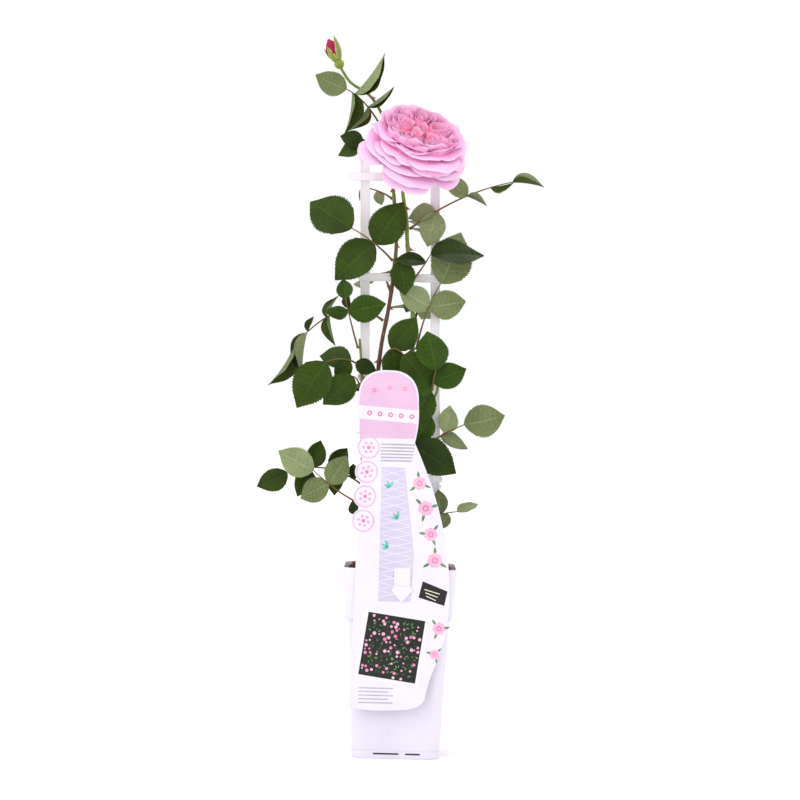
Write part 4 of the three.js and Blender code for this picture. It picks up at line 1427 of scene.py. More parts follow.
    def heart(self, draft: MeshDraft, random: Stream) -> None:
        """Fill the cup with the nests of the quartered heart.

        Args:
            draft: The mesh.
            random: Where the differences come from.
        """
        for q in range(self.quarters):
            bearing = tau * (q + 0.12) / self.quarters + random.between(-0.16, 0.16)
            reach = random.between(20, 24)
            nest = (reach * cos(bearing), reach * sin(bearing))
            grain = random.between(1.7, 2.15)
            for k in range(7):
                size = 1.2 + grain * k
                span = radians(random.between(150, 290))
                middle = random.between(-0.9, 0.9) + (pi if k % 3 == 1 else 0)
                top = 27 - 0.12 * size + random.between(-2.2, 1.8)
                self.fold(draft, nest, (size * 1.14, size * 0.9), middle - span / 2, span, top, random)
            side = bearing + pi / self.quarters + random.between(-0.1, 0.1)
            gap = (28 * cos(side), 28 * sin(side))
            for k in range(4):
                size = 2.2 + 2.1 * k
                span = radians(random.between(150, 230))
                start = random.between(-0.5, 0.5) - span / 2
                self.fold(draft, gap, (size * 1.2, size), start, span, 26 + random.between(-1.2, 1.2), random)
        for k in range(6):
            size = 1.2 + 1.7 * k
            span = radians(random.between(150, 250))
            start = random.between(0, tau)
            self.fold(draft, (0.6, 0.4), (size, size), start, span, 25.5 + random.between(-1, 1), random)

    def build(self) -> Item:
        """Build the whole flower.

        Returns:
            Its object, which stands for the bloom's solid.
        """
        random = Stream(SEED + 5)
        draft = MeshDraft()
        for whorl in WHORLS:
            for i in range(whorl.petals):
                turn = radians(whorl.start) + tau * i / whorl.petals + random.between(-0.24, 0.24)
                self.petal(draft, whorl, turn, random)
        self.receptacle(draft)
        self.heart(draft, random)
        item = draft.build("bloom_petals", self.materials)
        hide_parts("bloom")
        return item


@dataclass
class Calyx:
    """A green hip with five leafy sepals."""

    name: str
    foot: Vector
    axis: Vector
    hip: float
    hip_length: float
    sepal: float
    spread: float
    curl: float
    green: Material
    edge: Material
    breadth: float = 0.15
    lengths: tuple[float, ...] = (1, 1, 1, 1, 1)

    def build(self) -> Item:
        """Build the calyx.

        Returns:
            Its object, which stands for the calyx's solid.
        """
        right = Vector((0, 1, 0)).cross(self.axis).normalized()
        up = self.axis.cross(right)
        heights = [0, 0.1, 0.25, 0.42, 0.58, 0.75, 0.9, 1.0]
        radii = [0.34, 0.52, 0.78, 0.95, 1.0, 0.92, 0.76, 0.6]
        draft = MeshDraft()
        points, faces = sweep(
            lambda t: self.foot + self.axis * (self.hip_length * t),
            lambda t, turn: self.hip * float(np.interp(t, heights, radii)) * (1 + 0.02 * sin(5 * turn)),
            20,
            28,
        )
        draft.add(points, faces, 0)
        for i in range(5):
            turn = radians(72 * i + 20)
            out = right * cos(turn) + up * sin(turn)
            root = self.foot + self.axis * (self.hip_length * 0.86) + out * (self.hip * 0.6)
            heading = (out * self.spread + self.axis).normalized()
            normal = (self.axis * self.spread - out).normalized()
            self._sepal(draft, root, heading, normal, self.sepal * self.lengths[i])
        item = draft.build(f"{self.name}_green", [self.green, self.edge])
        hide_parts(self.name)
        return item

    def _sepal(self, draft: MeshDraft, root: Vector, heading: Vector, normal: Vector, length: float) -> None:
        """Add one sepal: a keeled blade with a pale felted edge and a drawn-out tip.

        Args:
            draft: The mesh.
            root: Where it starts.
            heading: Which way it points.
            normal: Which way its inner side looks.
            length: How long it is, in metres.
        """
        across = heading.cross(normal).normalized()
        rows, columns = 22, 8
        for layer, offset in ((0, 0.0), (1, 0.35 * MM)):
            points = []
            for r in range(rows + 1):
                s = r / rows
                bulge = sin(pi * min(1, s**0.75)) ** 0.8
                half = self.sepal * self.breadth * (bulge + 0.05 * (1 - s))
                half *= 1 + 0.12 * sin(17 * s) * max(0, s - 0.25)
                for c in range(columns + 1):
                    t = 2 * c / columns - 1
                    lift = 0.3 * half * t * t - self.curl * length * s * s + offset
                    points.append(root + heading * (length * s) + across * (half * t) + normal * lift)
            slots = [1 if layer or c in (0, columns - 1) else 0 for _ in range(rows) for c in range(columns)]
            faces = grid_faces(rows + 1, columns + 1)
            if layer:
                faces = [tuple(reversed(f)) for f in faces]
            draft.add(points, faces, slots)


@dataclass
class Bud:
    """The closed bud: crimson petals wrapped round one another."""

    foot: Vector
    axis: Vector
    material: Material
    petals: int = 7
    foot_height: float = 9.7
    reach: float = 23.4
    wrap: float = 2.7

    def build(self) -> Item:
        """Build the bud.

        Returns:
            Its object, which stands for the bud's solid.
        """
        right = Vector((0, 1, 0)).cross(self.axis).normalized()
        up = self.axis.cross(right)
        heights = [self.foot_height, 11, 13, 16, 19, 22, 25, 28, 31, 33.5]
        radii = [2.2, 3.6, 5.6, 7.4, 8.3, 8.1, 7.2, 5.8, 3.9, 1.6]
        draft = MeshDraft()
        for i in range(self.petals):
            start = i * 2.4
            inner = 1 - 0.09 * i
            rows, columns = 22, 20
            points = []
            for r in range(rows + 1):
                s = r / rows
                height = self.foot_height + (self.reach + 0.35 * i) * s
                for c in range(columns + 1):
                    t = c / columns
                    turn = start + t * self.wrap
                    drop = 2.2 * abs(2 * t - 1) ** 3 * s
                    z = height - drop
                    radius = float(np.interp(z, heights, radii)) * inner
                    radius += 0.5 * t + 0.25 * s * sin(7 * t + i)
                    out = right * cos(turn) + up * sin(turn)
                    points.append(self.foot + self.axis * (z * MM) + out * (radius * MM))
            draft.add(points, grid_faces(rows + 1, columns + 1))
        item = draft.build("bud_petals", [self.material])
        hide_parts("bud")
        return item


# ---- pot, soil, ladder


def square_ring(side: float, corner: float, z: float, per_corner: int = 12) -> list[Vector]:
    """List a level ring in the shape of a square with round corners.

    Args:
        side: The square's side in millimetres.
        corner: The corner's radius in millimetres.
        z: The height in millimetres.
        per_corner: How many points each corner has.

    Returns:
        The points in metres.
    """
    half = side / 2 - corner
    ring = []
    for q in range(4):
        sx = 1 if q in (0, 3) else -1
        sy = 1 if q < 2 else -1
        for i in range(per_corner):
            turn = pi / 2 * (q + i / (per_corner - 1))
            ring.append(mm((sx * half + corner * cos(turn), sy * half + corner * sin(turn), z)))
    return ring


@dataclass
class Pot:
    """The tall square pot: a tapered body, a deep collar, a rolled rim, and drainage slots on its foot drawn
    as flat faces of painted shadow.
    """

    plastic: Material
    shadow: Material
    rim: float = 120
    height: float = 200
    collar_height: float = 54
    collar_foot: float = 113
    body_top: float = 106
    body_foot: float = 92
    wall: float = 1.6
    floor: float = 3
    seam: float = 8
    slots: tuple[tuple[float, float], ...] = ((-10, 27), (18, 16))
    slot_radius: float = 0.9
    slot_level: float = 5.2

    def build(self) -> Item:
        """Build the pot.

        Returns:
            Its object, which stands for the pot's solid.
        """
        collar = self.height - self.collar_height
        seam_side = self.body_foot + (self.body_top - self.body_foot) * self.seam / collar
        profile = [
            (self.body_foot - 12, 12, 0.0), (self.body_foot - 1.6, 13, 0.0), (self.body_foot - 0.5, 13, 0.3),
            (self.body_foot, 13, 1.0), (seam_side, 13, self.seam - 0.3), (seam_side - 0.3, 13, self.seam),
            (seam_side - 1, 13, self.seam + 0.15), (seam_side - 1, 13, self.seam + 0.6),
            (seam_side - 0.2, 13, self.seam + 0.9), (self.body_top - 3.4, 13, collar * 0.74),
            (self.body_top, 13, collar - 2), (self.body_top + 1.2, 13.4, collar - 1.2),
            (self.collar_foot - 1.6, 15, collar - 0.4), (self.collar_foot, 15, collar + 0.8),
            (self.collar_foot + 0.3, 15, collar + 2), (self.rim - 0.7, 16, self.height - 6),
            (self.rim - 0.5, 16, self.height - 4), (self.rim, 16, self.height - 3.2),
            (self.rim, 16, self.height - 1.1), (self.rim - 0.7, 15.8, self.height - 0.25),
            (self.rim - 1.5, 15.5, self.height), (self.rim - 2.6, 14.4, self.height - 0.2),
            (self.rim - 2 * self.wall, 14, self.height - 0.9), (self.collar_foot - 3.2, 13, collar + 2),
            (self.body_top - 3.2, 11.4, collar - 2), (self.body_foot - 4.2, 11.4, self.floor),
        ]
        draft = MeshDraft()
        rings = [square_ring(*row) for row in profile]
        draft.add([p for ring in rings for p in ring], ring_faces(len(rings), len(rings[0])))
        for side in range(4):
            turn = Matrix.Rotation(radians(90 * side), 3, "Z")
            for x, width in self.slots:
                self._slot(draft, turn, x, width)
        item = draft.build("pot_moulded", [self.plastic, self.shadow])
        bevel = item.modifiers.new("weighted", "WEIGHTED_NORMAL")
        bevel.keep_sharp = True
        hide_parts("pot")
        return item

    def _slot(self, draft: MeshDraft, turn: Matrix, x: float, width: float) -> None:
        """Add the mouth of one drainage slot as a flat face of painted shadow, a hair proud of the foot.

        Args:
            draft: The mesh.
            turn: Which side of the pot it is on.
            x: The slot's middle.
            width: The slot's length.
        """
        front, small, corners = -self.body_foot / 2 - 0.32, self.slot_radius, 16
        mouth = []
        for i in range(corners):
            angle = tau * i / corners
            shift = (width / 2 - small) * (1 if cos(angle) > 0 else -1)
            across = x + shift + small * cos(angle)
            mouth.append(turn @ mm((across, front, self.slot_level + small * sin(angle))))
        # slot 1 is painted shadow: a dark flat face standing for the shade inside the slot
        draft.add(mouth, [tuple(range(corners))], 1)


@dataclass
class Soil:
    """The compost: a lumpy mound inside the rim, strewn with crumbs, fibres and grit."""

    compost: Material
    crumb: Material
    grit: Material
    crumbs: int = 2600
    plateau: float = 36
    shoulder: float = 49
    crown: float = 203
    sag: float = 3
    edge: float = 192
    edge_run: float = 8
    cells: int = 84
    half: float = 57.0
    corner_at: float = 43
    corner: float = 13.6
    strewn: float = 54
    grit_share: float = 0.06
    crumb_share: float = 0.6

    def height(self, x: float, y: float) -> float:
        """Give the mound's height.

        Args:
            x: The place across, in millimetres.
            y: The place back, in millimetres.

        Returns:
            The height in millimetres.
        """
        reach = max(abs(x), abs(y))
        if reach <= self.plateau:
            return self.crown
        if reach <= self.shoulder:
            return self.crown - self.sag * (reach - self.plateau) / (self.shoulder - self.plateau)
        low = self.crown - self.sag
        return low - (low - self.edge) * min(1, (reach - self.shoulder) / self.edge_run)

    def build(self) -> Item:
        """Build the mound and what lies on it.

        Returns:
            The mound's object, which stands for the soil's solid.
        """
        random = Stream(SEED + 9)
        cells, half = self.cells, self.half
        waves = [
            (random.between(0.06, 0.5), random.between(0.06, 0.5), random.between(0, 6.3)) for _ in range(26)
        ]
        points = []
        for i in range(cells + 1):
            for j in range(cells + 1):
                x = -half + 2 * half * i / cells
                y = -half + 2 * half * j / cells
                past = max(0, abs(x) - self.corner_at), max(0, abs(y) - self.corner_at)
                over = max(0.0, hypot(*past) - self.corner)
                pull = 1 - over / hypot(x, y) if over else 1.0
                x, y = x * pull, y * pull
                bumps = sum(sin(a * x + b * y + p) for a, b, p in waves) * 0.16
                points.append((x * MM, y * MM, (self.height(x, y) + bumps - 0.7) * MM))
        draft = MeshDraft()
        draft.add(points, grid_faces(cells + 1, cells + 1))
        profile = [(86.0, 11.4, 3.4), (102.0, 11.4, 144), (109.0, 13, 148.4), (114.6, 14, 191.5)]
        body = [square_ring(*row) for row in profile]
        draft.add([p for ring in body for p in ring], ring_faces(len(body), len(body[0]), last=False))
        for _ in range(self.crumbs):
            x, y = (random.between(-self.strewn, self.strewn) for _ in range(2))
            size = random.between(0.35, 1.5) ** 1.4
            centre = mm((x, y, self.height(x, y) + 0.1 + 0.4 * size))
            slot = 2 if random() < self.grit_share else 1 if random() < self.crumb_share else 0
            self._crumb(draft, centre, size * MM, slot, random)
        item = draft.build("soil_compost", [self.compost, self.crumb, self.grit])
        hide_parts("soil")
        return item

    def _crumb(self, draft: MeshDraft, centre: Vector, size: float, slot: int, random: Stream) -> None:
        """Add one crumb.

        Args:
            draft: The mesh.
            centre: Where it lies.
            size: How large it is.
            slot: Its material.
            random: Where its shape comes from.
        """
        long = random.between(0.7, 2.2) if random() < 0.25 else random.between(0.7, 1.2)
        heading = random.between(0, tau)
        axis = Vector((cos(heading), sin(heading), random.between(-0.3, 0.4))).normalized()
        side = axis.orthogonal().normalized()
        over = axis.cross(side)
        points = [centre + axis * (size * long)]
        for k in range(5):
            turn = tau * k / 5
            reach = size * random.between(0.5, 0.9)
            points.append(centre + (side * cos(turn) + over * sin(turn)) * reach)
        points.append(centre - axis * (size * long))
        faces = [(0, 1 + k, 1 + (k + 1) % 5) for k in range(5)]
        faces += [(6, 1 + (k + 1) % 5, 1 + k) for k in range(5)]
        draft.add(points, faces, slot)


@dataclass
class Ladder:
    """The white plastic ladder: two lipped uprights and four round-ended rungs."""

    plastic: Material
    span: float = 75
    lean: float = -0.026
    level: float = 200
    rail_width: float = 10
    rail_depth: float = 5
    foot: float = 60
    top: float = 633
    rung_height: float = 8.6
    rung_depth: float = 4.6
    pitch: float = 106.6
    top_rung: float = 613
    overhangs: tuple[float, ...] = (12, 3, 3, 3)

    def rail_at(self, z: float, side: int) -> float:
        """Give the middle of an upright."""
        return side * self.span / 2 + self.lean * (z - self.level)

    def rail(self, side: int, name: str) -> Item:
        """Build one upright: a flat bar with a raised lip along both edges of its face.

        Args:
            side: -1 for the left and 1 for the right.
            name: The solid that it stands for.

        Returns:
            Its object.
        """
        half, deep = self.rail_width / 2, self.rail_depth / 2
        section = [
            (-half + 0.5, -deep), (-half + 1.3, -deep), (-half + 1.6, -deep + 0.7), (half - 1.6, -deep + 0.7),
            (half - 1.3, -deep), (half - 0.5, -deep), (half, -deep + 0.5), (half, deep - 0.4),
            (half - 0.5, deep), (half - 1.6, deep + 0.9), (-half + 1.6, deep + 0.9), (-half + 0.5, deep),
            (-half, deep - 0.4), (-half, -deep + 0.5),
        ]
        middle = np.linspace(self.foot + 10, self.top - 4, 60)
        heights = [self.foot, self.foot + 1, *middle, self.top - 1.2, self.top]
        draft = MeshDraft()
        points = []
        for i, z in enumerate(heights):
            tight = 0.9 if i in (0, len(heights) - 1) else 1.0
            for x, y in section:
                points.append(mm((self.rail_at(z, side) + x * tight, y * tight, z)))
        draft.add(points, ring_faces(len(heights), len(section)))
        item = draft.build(f"{name}_moulded", [self.plastic], smooth=False)
        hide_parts(name)
        return item

    def rung(self, index: int) -> Item:
        """Build one rung with softened edges and a shallow channel along its face.

        Args:
            index: Which rung, from the top.

        Returns:
            Its object.
        """
        z = self.top_rung - index * self.pitch
        over = self.overhangs[index]
        left = self.rail_at(z, -1) - self.rail_width / 2 - over
        right = self.rail_at(z, 1) + self.rail_width / 2 + over
        radius = self.rung_height / 2
        front = -self.rail_depth / 2 - 0.3 - self.rung_depth
        steps = 14

        def ring(inset: float, y: float) -> list[Vector]:
            """List the rung's outline pulled in a little.

            Args:
                inset: How far in.
                y: How far back.

            Returns:
                The points.
            """
            points = []
            for centre, start in ((right - radius, -90), (left + radius, 90)):
                for i in range(steps + 1):
                    turn = radians(start + 180 * i / steps)
                    reach = radius - inset
                    points.append(mm((centre + reach * cos(turn), y, z + reach * sin(turn))))
            return points

        rings = [
            ring(2.6, front + 0.5), ring(1.9, front + 0.45), ring(1.5, front + 0.1), ring(1.0, front),
            ring(0.35, front + 0.2), ring(0.0, front + 0.8), ring(0.0, front + self.rung_depth - 0.8),
            ring(0.35, front + self.rung_depth - 0.2), ring(1.0, front + self.rung_depth),
        ]
        draft = MeshDraft()
        faces = [tuple(reversed(face)) for face in ring_faces(len(rings), len(rings[0]))]
        draft.add([p for r in rings for p in r], faces)
        item = draft.build(f"rung_{index + 1}_moulded", [self.plastic])
        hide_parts(f"rung_{index + 1}")
        return item

    def build(self) -> None:
        """Build every piece of the ladder."""
        self.rail(-1, "rail_left")
        self.rail(1, "rail_right")
        for index in range(len(self.overhangs)):
            self.rung(index)


# ---- the card


class Outline:
    """A flat outline in X and Z, drawn with lines, arcs and curves, in millimetres."""

    def __init__(self, x: float, z: float) -> None:
        """Start the outline."""
        self.points = [(x, z)]

    def line(self, x: float, z: float) -> "Outline":
        """Draw a straight line."""
        self.points.append((x, z))
        return self

    def curve(self, *controls: tuple[float, float], steps: int = 14) -> "Outline":
        """Draw a Bezier curve through its control points.

        Args:
            controls: The control points, the last of which is its end.
            steps: How many stretches it has.

        Returns:
            The outline.
        """
        poles = [self.points[-1], *controls]
        for i in range(1, steps + 1):
            level = list(poles)
            t = i / steps
            while len(level) > 1:
                level = [
                    (a[0] * (1 - t) + b[0] * t, a[1] * (1 - t) + b[1] * t) for a, b in zip(level, level[1:])
                ]
            self.points.append(level[0])
        return self

    def arc(self, x: float, z: float, radius: float, start: float, end: float, steps: int = 16) -> "Outline":
        """Draw an arc.

        Args:
            x: Its middle, across.
            z: Its middle, up.
            radius: Its radius.
            start: The angle that it starts at, in degrees.
            end: The angle that it ends at.
            steps: How many stretches it has.

        Returns:
            The outline.
        """
        for i in range(steps + 1):
            turn = radians(start + (end - start) * i / steps)
            self.points.append((x + radius * cos(turn), z + radius * sin(turn)))
        return self


class Film:
    """The card's print: flat shapes of ink in millimetres, each lift a hair in front of the one below."""

    STEP = 0.035
    DEPTH = 0.05
    ROSETTE = ((1.0, "petal", 7), (0.8, "pink", 6), (0.62, "petal", 5), (0.44, "rose", 5), (0.24, "petal", 4))

    def __init__(self, level: float, slots: dict[str, int]) -> None:
        """Start with nothing printed.

        Args:
            level: Where the lowest film's face lies, in millimetres.
            slots: The material slot of each ink.
        """
        self.draft = MeshDraft()
        self.level = level
        self.slots = slots

    def blob(self, points: Sequence[tuple[float, float]], ink: str, lift: int = 0) -> None:
        """Print one shape by its outline, with so many films under it."""
        self.draft.add_slab(points, self.level - self.STEP * lift, self.DEPTH, self.slots[ink])

    def disc(self, x: float, z: float, radius: float, ink: str, lift: int = 0) -> None:
        """Print a disc round a point."""
        self.blob(Outline(x + radius, z).arc(x, z, radius, 8, 352, 30).points, ink, lift)

    def ring(self, x: float, z: float, outer: float, inner: float, ink: str, lift: int = 0) -> None:
        """Print a round band.

        Args:
            x: Its middle, across.
            z: Its middle, up.
            outer: Its outer radius.
            inner: Its inner radius.
            ink: Its ink.
            lift: How many films lie under it.
        """
        steps = 40
        y = (self.level - self.STEP * lift) * MM
        points = []
        for i in range(steps):
            turn = tau * i / steps
            for reach in (inner, outer):
                points.append(((x + reach * cos(turn)) * MM, y, (z + reach * sin(turn)) * MM))
        faces = [(2 * i, 2 * i + 1, 2 * ((i + 1) % steps) + 1, 2 * ((i + 1) % steps)) for i in range(steps)]
        self.draft.add(points, faces, self.slots[ink])

    def rosette(self, x: float, z: float, size: float, turn: float, lift: int) -> None:
        """Print a plain rosette: lobed rings, each inside the last.

        Args:
            x: Its middle, across.
            z: Its middle, up.
            size: Its radius.
            turn: How far it is turned, in degrees.
            lift: How many films lie under it.
        """
        for i, (scale, ink, lobes) in enumerate(self.ROSETTE):
            shape = []
            for k in range(40):
                angle = tau * k / 40
                reach = size * scale * (0.92 + 0.08 * cos(lobes * angle + radians(turn) + i))
                shape.append((x + reach * cos(angle), z + reach * sin(angle)))
            self.blob(shape, ink, lift + i)

    def leaf(
        self, x: float, z: float, size: float, turn: float, ink: str = "leaf_ink", lift: int = 1
    ) -> None:
        """Print a plain pointed leaf.

        Args:
            x: Its foot, across.
            z: Its foot, up.
            size: Its length.
            turn: Which way it points, in degrees.
            ink: Its ink.
            lift: How many films lie under it.
        """
        dx, dz = cos(radians(turn)), sin(radians(turn))
        tip = (x + dx * size, z + dz * size)
        near, far = [
            (x + dx * size * 0.45 - dz * size * s, z + dz * size * 0.45 + dx * size * s)
            for s in (0.34, -0.34)
        ]
        shape = Outline(x, z).curve(near, tip, steps=7).curve(far, (x, z), steps=7)
        self.blob(shape.points[:-1], ink, lift)


@dataclass
class Card:
    """The die-cut card on the pot's rim, printed with plain shapes, and the clip that holds it."""

    finishes: dict[str, Material]
    front: float = -61.4
    thickness: float = 0.8
    disc: float = 12.5
    clip_width: float = 17
    clear: float = 0.3
    rim_half: float = 60
    wall: float = 1.6

    def outline(self) -> Outline:
        """Draw the card's outline.

        Returns:
            The outline.
        """
        shape = Outline(-44, 54).curve((-20, 50), (12, 54)).curve((24, 56), (29, 64))
        shape.curve((33, 96), (52, 118), (52, 160)).curve((53, 212), (45, 262), (12, 332))
        shape.curve((17, 352), (15, 372)).curve((16, 398), (2, 408), (-17, 407))
        shape.curve((-36, 408), (-48, 398), (-48, 380)).curve((-50, 371), (-48, 362)).line(-46, 336)
        for i in range(4):
            shape.arc(-36 - 1.2 * i, 326 - 25.5 * i, self.disc, 118, 238)
        return shape.curve((-46, 200), (-50, 60)).curve((-50, 54), (-44, 54))

    def build(self) -> None:
        """Build the card, its print and its clip."""
        materials = list(self.finishes.values())
        slot = {name: i for i, name in enumerate(self.finishes)}
        board = MeshDraft()
        board.add_slab(self.outline().points, self.front, self.thickness, slot["white"])
        card = board.build("label_card_board", materials, smooth=False)
        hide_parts("label_card")
        film = Film(self.front - 0.06, slot)
        self._print_head(film)
        self._print_badges(film)
        self._print_trellis(film)
        self._print_panel(film)
        self._print_roses(film)
        item = film.draft.build("label_card_print", materials, smooth=False)
        self._clip(slot, materials)

    @staticmethod
    def _print_head(film: Film) -> None:
        """Print the pink head with its white band, dots and rosettes, and the grey bars below it.

        Args:
            film: Takes the print.
        """
        head = Outline(-45.5, 336).line(11.5, 336)
        head.curve((15.5, 354), (13.5, 372)).curve((14, 396), (1, 405.5), (-17, 405))
        head.curve((-35, 405.5), (-46, 396), (-46.4, 380)).curve((-48, 371), (-46.4, 362))
        film.blob(head.points, "pink")
        film.blob([(-47.6, 356), (13.6, 352), (13.9, 366), (-48, 370)], "white", 1)
        for i in range(5):
            x, z = -36 + 11 * i, 362 - 0.7 * i
            film.disc(x, z, 2.6, "rose", 2)
            film.disc(x, z, 1.1, "white", 3)
        for i in range(3):
            film.rosette(-32 + 16 * i, 386 + 3 * sin(1.2 * i), 5.6, 30 * i, 1)
        for i in range(6):
            left, right, z = -24 + 0.2 * i, 12.5 - 0.6 * i, 330.5 - 3.4 * i
            film.blob([(left, z), (right, z), (right - 0.5, z - 1.5), (left, z - 1.5)], "grey")

    @staticmethod
    def _print_badges(film: Film) -> None:
        """Print the four round badges down the card's left side.

        Args:
            film: Takes the print.
        """
        for i in range(4):
            x, z = -36 - 1.2 * i, 326 - 25.5 * i
            film.disc(x, z, 11.6, "white", 1)
            film.ring(x, z, 11.4, 10.2, "pink_line", 2)
            for k in range(6):
                turn = radians(60 * k + 15 * i)
                film.disc(x + 5.2 * cos(turn), z + 5.2 * sin(turn), 1.7, "pink_line", 2)
            film.disc(x, z, 2.0, "rose", 2)

    @staticmethod
    def _print_trellis(film: Film) -> None:
        """Print the lavender wash in the card's middle, with a fine trellis and small turquoise sprigs.

        Args:
            film: Takes the print.
        """
        film.blob([(-22, 166), (12, 166), (14, 216), (8, 262), (2, 306), (-22, 306)], "wash")
        for i in range(16):
            z = 170 + 8.4 * i
            right = 12 - max(0.0, (z - 216) * 0.13)
            film.blob([(-22, z), (right, z + 7), (right, z + 7.7), (-22, z + 0.7)], "white", 1)
            film.blob([(-22, z + 7.7), (-22, z + 7), (right, z), (right, z + 0.7)], "white", 2)
        for i, (x, z) in enumerate([(-14, 284), (-4, 252), (-13, 222), (0, 192)]):
            for k in range(3):
                film.leaf(x, z, 9 - k, 60 + 40 * k + 25 * i, "turquoise", 3)

    @staticmethod
    def _print_panel(film: Film) -> None:
        """Print the tilted dark panel with its border and its pattern of leaves and dots, and the tag.

        Args:
            film: Takes the print.
        """
        tilt = radians(-8)

        def turned(x: float, z: float) -> tuple[float, float]:
            """Turn a place on the panel into one on the card."""
            dx, dz = cos(tilt), sin(tilt)
            return (-6.5 + x * dx - z * dz, 118 + x * dz + z * dx)

        for half_x, half_z, ink, lift in ((34, 37, "border", 1), (30, 33, "dark_green", 2)):
            corners = ((-half_x, -half_z), (half_x, -half_z), (half_x, half_z), (-half_x, half_z))
            film.blob([turned(x, z) for x, z in corners], ink, lift)
        random = Stream(SEED + 77)
        for row in range(15):
            for column in range(14):
                x = -28 + 4.2 * column + 1.4 * (row % 2) + random.between(-1.3, 1.3)
                z = -31 + 4.4 * row + random.between(-1.3, 1.3)
                if abs(x) < 28 and abs(z) < 31 and random() < 0.33:
                    size = random.between(0.8, 1.9)
                    film.disc(*turned(x, z), size, "petal" if random() < 0.6 else "rose", 4)
                elif abs(x) < 26.5 and abs(z) < 29.5:
                    ink = "leaf_ink" if random() < 0.55 else "leaf_shade"
                    film.leaf(*turned(x, z), random.between(2.4, 4.4), random.between(0, 360), ink, 3)
        film.blob([(20, 171), (47, 163), (50, 178), (24, 188)], "charcoal", 2)
        for i in range(3):
            left, right, z = 26 + i, 42 - 2 * i, 175.5 - 3.4 * i
            film.blob([(left, z + 4.5), (right, z), (right, z - 0.9), (left, z + 3.5)], "cream", 3)

    @staticmethod
    def _print_roses(film: Film) -> None:
        """Print the rosettes with their leaves down the card's right side, and the grey bars at its foot.

        Args:
            film: Takes the print.
        """
        places = [(18, 290, 8), (25, 264, 9), (31, 237, 8), (36, 210, 9), (42, 139, 7.5), (38.5, 112, 6)]
        for i, (x, z, size) in enumerate(places):
            for k in range(3):
                turn = radians(100 + 120 * k + 37 * i)
                reach = size * 0.6
                film.leaf(x + reach * cos(turn), z + reach * sin(turn), size, degrees(turn))
            film.rosette(x, z, size * 0.9, 25 * i, 3)
        for i in range(5):
            right, z = -4 - 5 * (i % 2), 76 - 3.8 * i
            film.blob([(-40, z), (right, z), (right, z - 1.2), (-40, z - 1.2)], "grey")

    def _clip(self, slot: dict[str, int], materials: Sequence[Material]) -> None:
        """Add the clip: a strap over the rim with an arrow-shaped tongue in front.

        Args:
            slot: The slot of each finish.
            materials: The finishes.
        """
        centre, half = 2.5, self.clip_width / 2
        front = self.front - self.clear - self.thickness
        inner = -self.rim_half + self.wall + self.wall
        path = [
            (front + 0.4, 182.6), (front + 0.4, 197), (front + 0.55, 199.8), (front + 1.3, 200.9),
            (front + 2.4, 201.05), (inner - 0.8, 201.05), (inner + 0.1, 200.6), (inner + 0.4, 199.6),
            (inner + 0.4, 193.6),
        ]
        draft = MeshDraft()
        points = []
        for i, (y, z) in enumerate(path):
            before, after = path[max(i - 1, 0)], path[min(i + 1, len(path) - 1)]
            dy, dz = after[0] - before[0], after[1] - before[1]
            size = hypot(dy, dz)
            ny, nz = -dz / size, dy / size
            for x, s in ((-half, 1), (half, 1), (half, -1), (-half, -1)):
                points.append(mm((centre + x, y + ny * 0.4 * s, z + nz * 0.4 * s)))
        draft.add(points, ring_faces(len(path), 4), slot["white"])
        arrow = [(-half, 183), (-half - 3, 178), (0, 165), (half + 3, 178), (half, 183)]
        draft.add_slab([(x + centre, z) for x, z in arrow], front, self.thickness, slot["white"])
        item = draft.build("label_clip_strap", materials, smooth=False)
        bevel = item.modifiers.new("soft_edges", "BEVEL")
        bevel.width = 0.12 * MM
        bevel.segments = 2
        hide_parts("label_clip")


# ---- studio


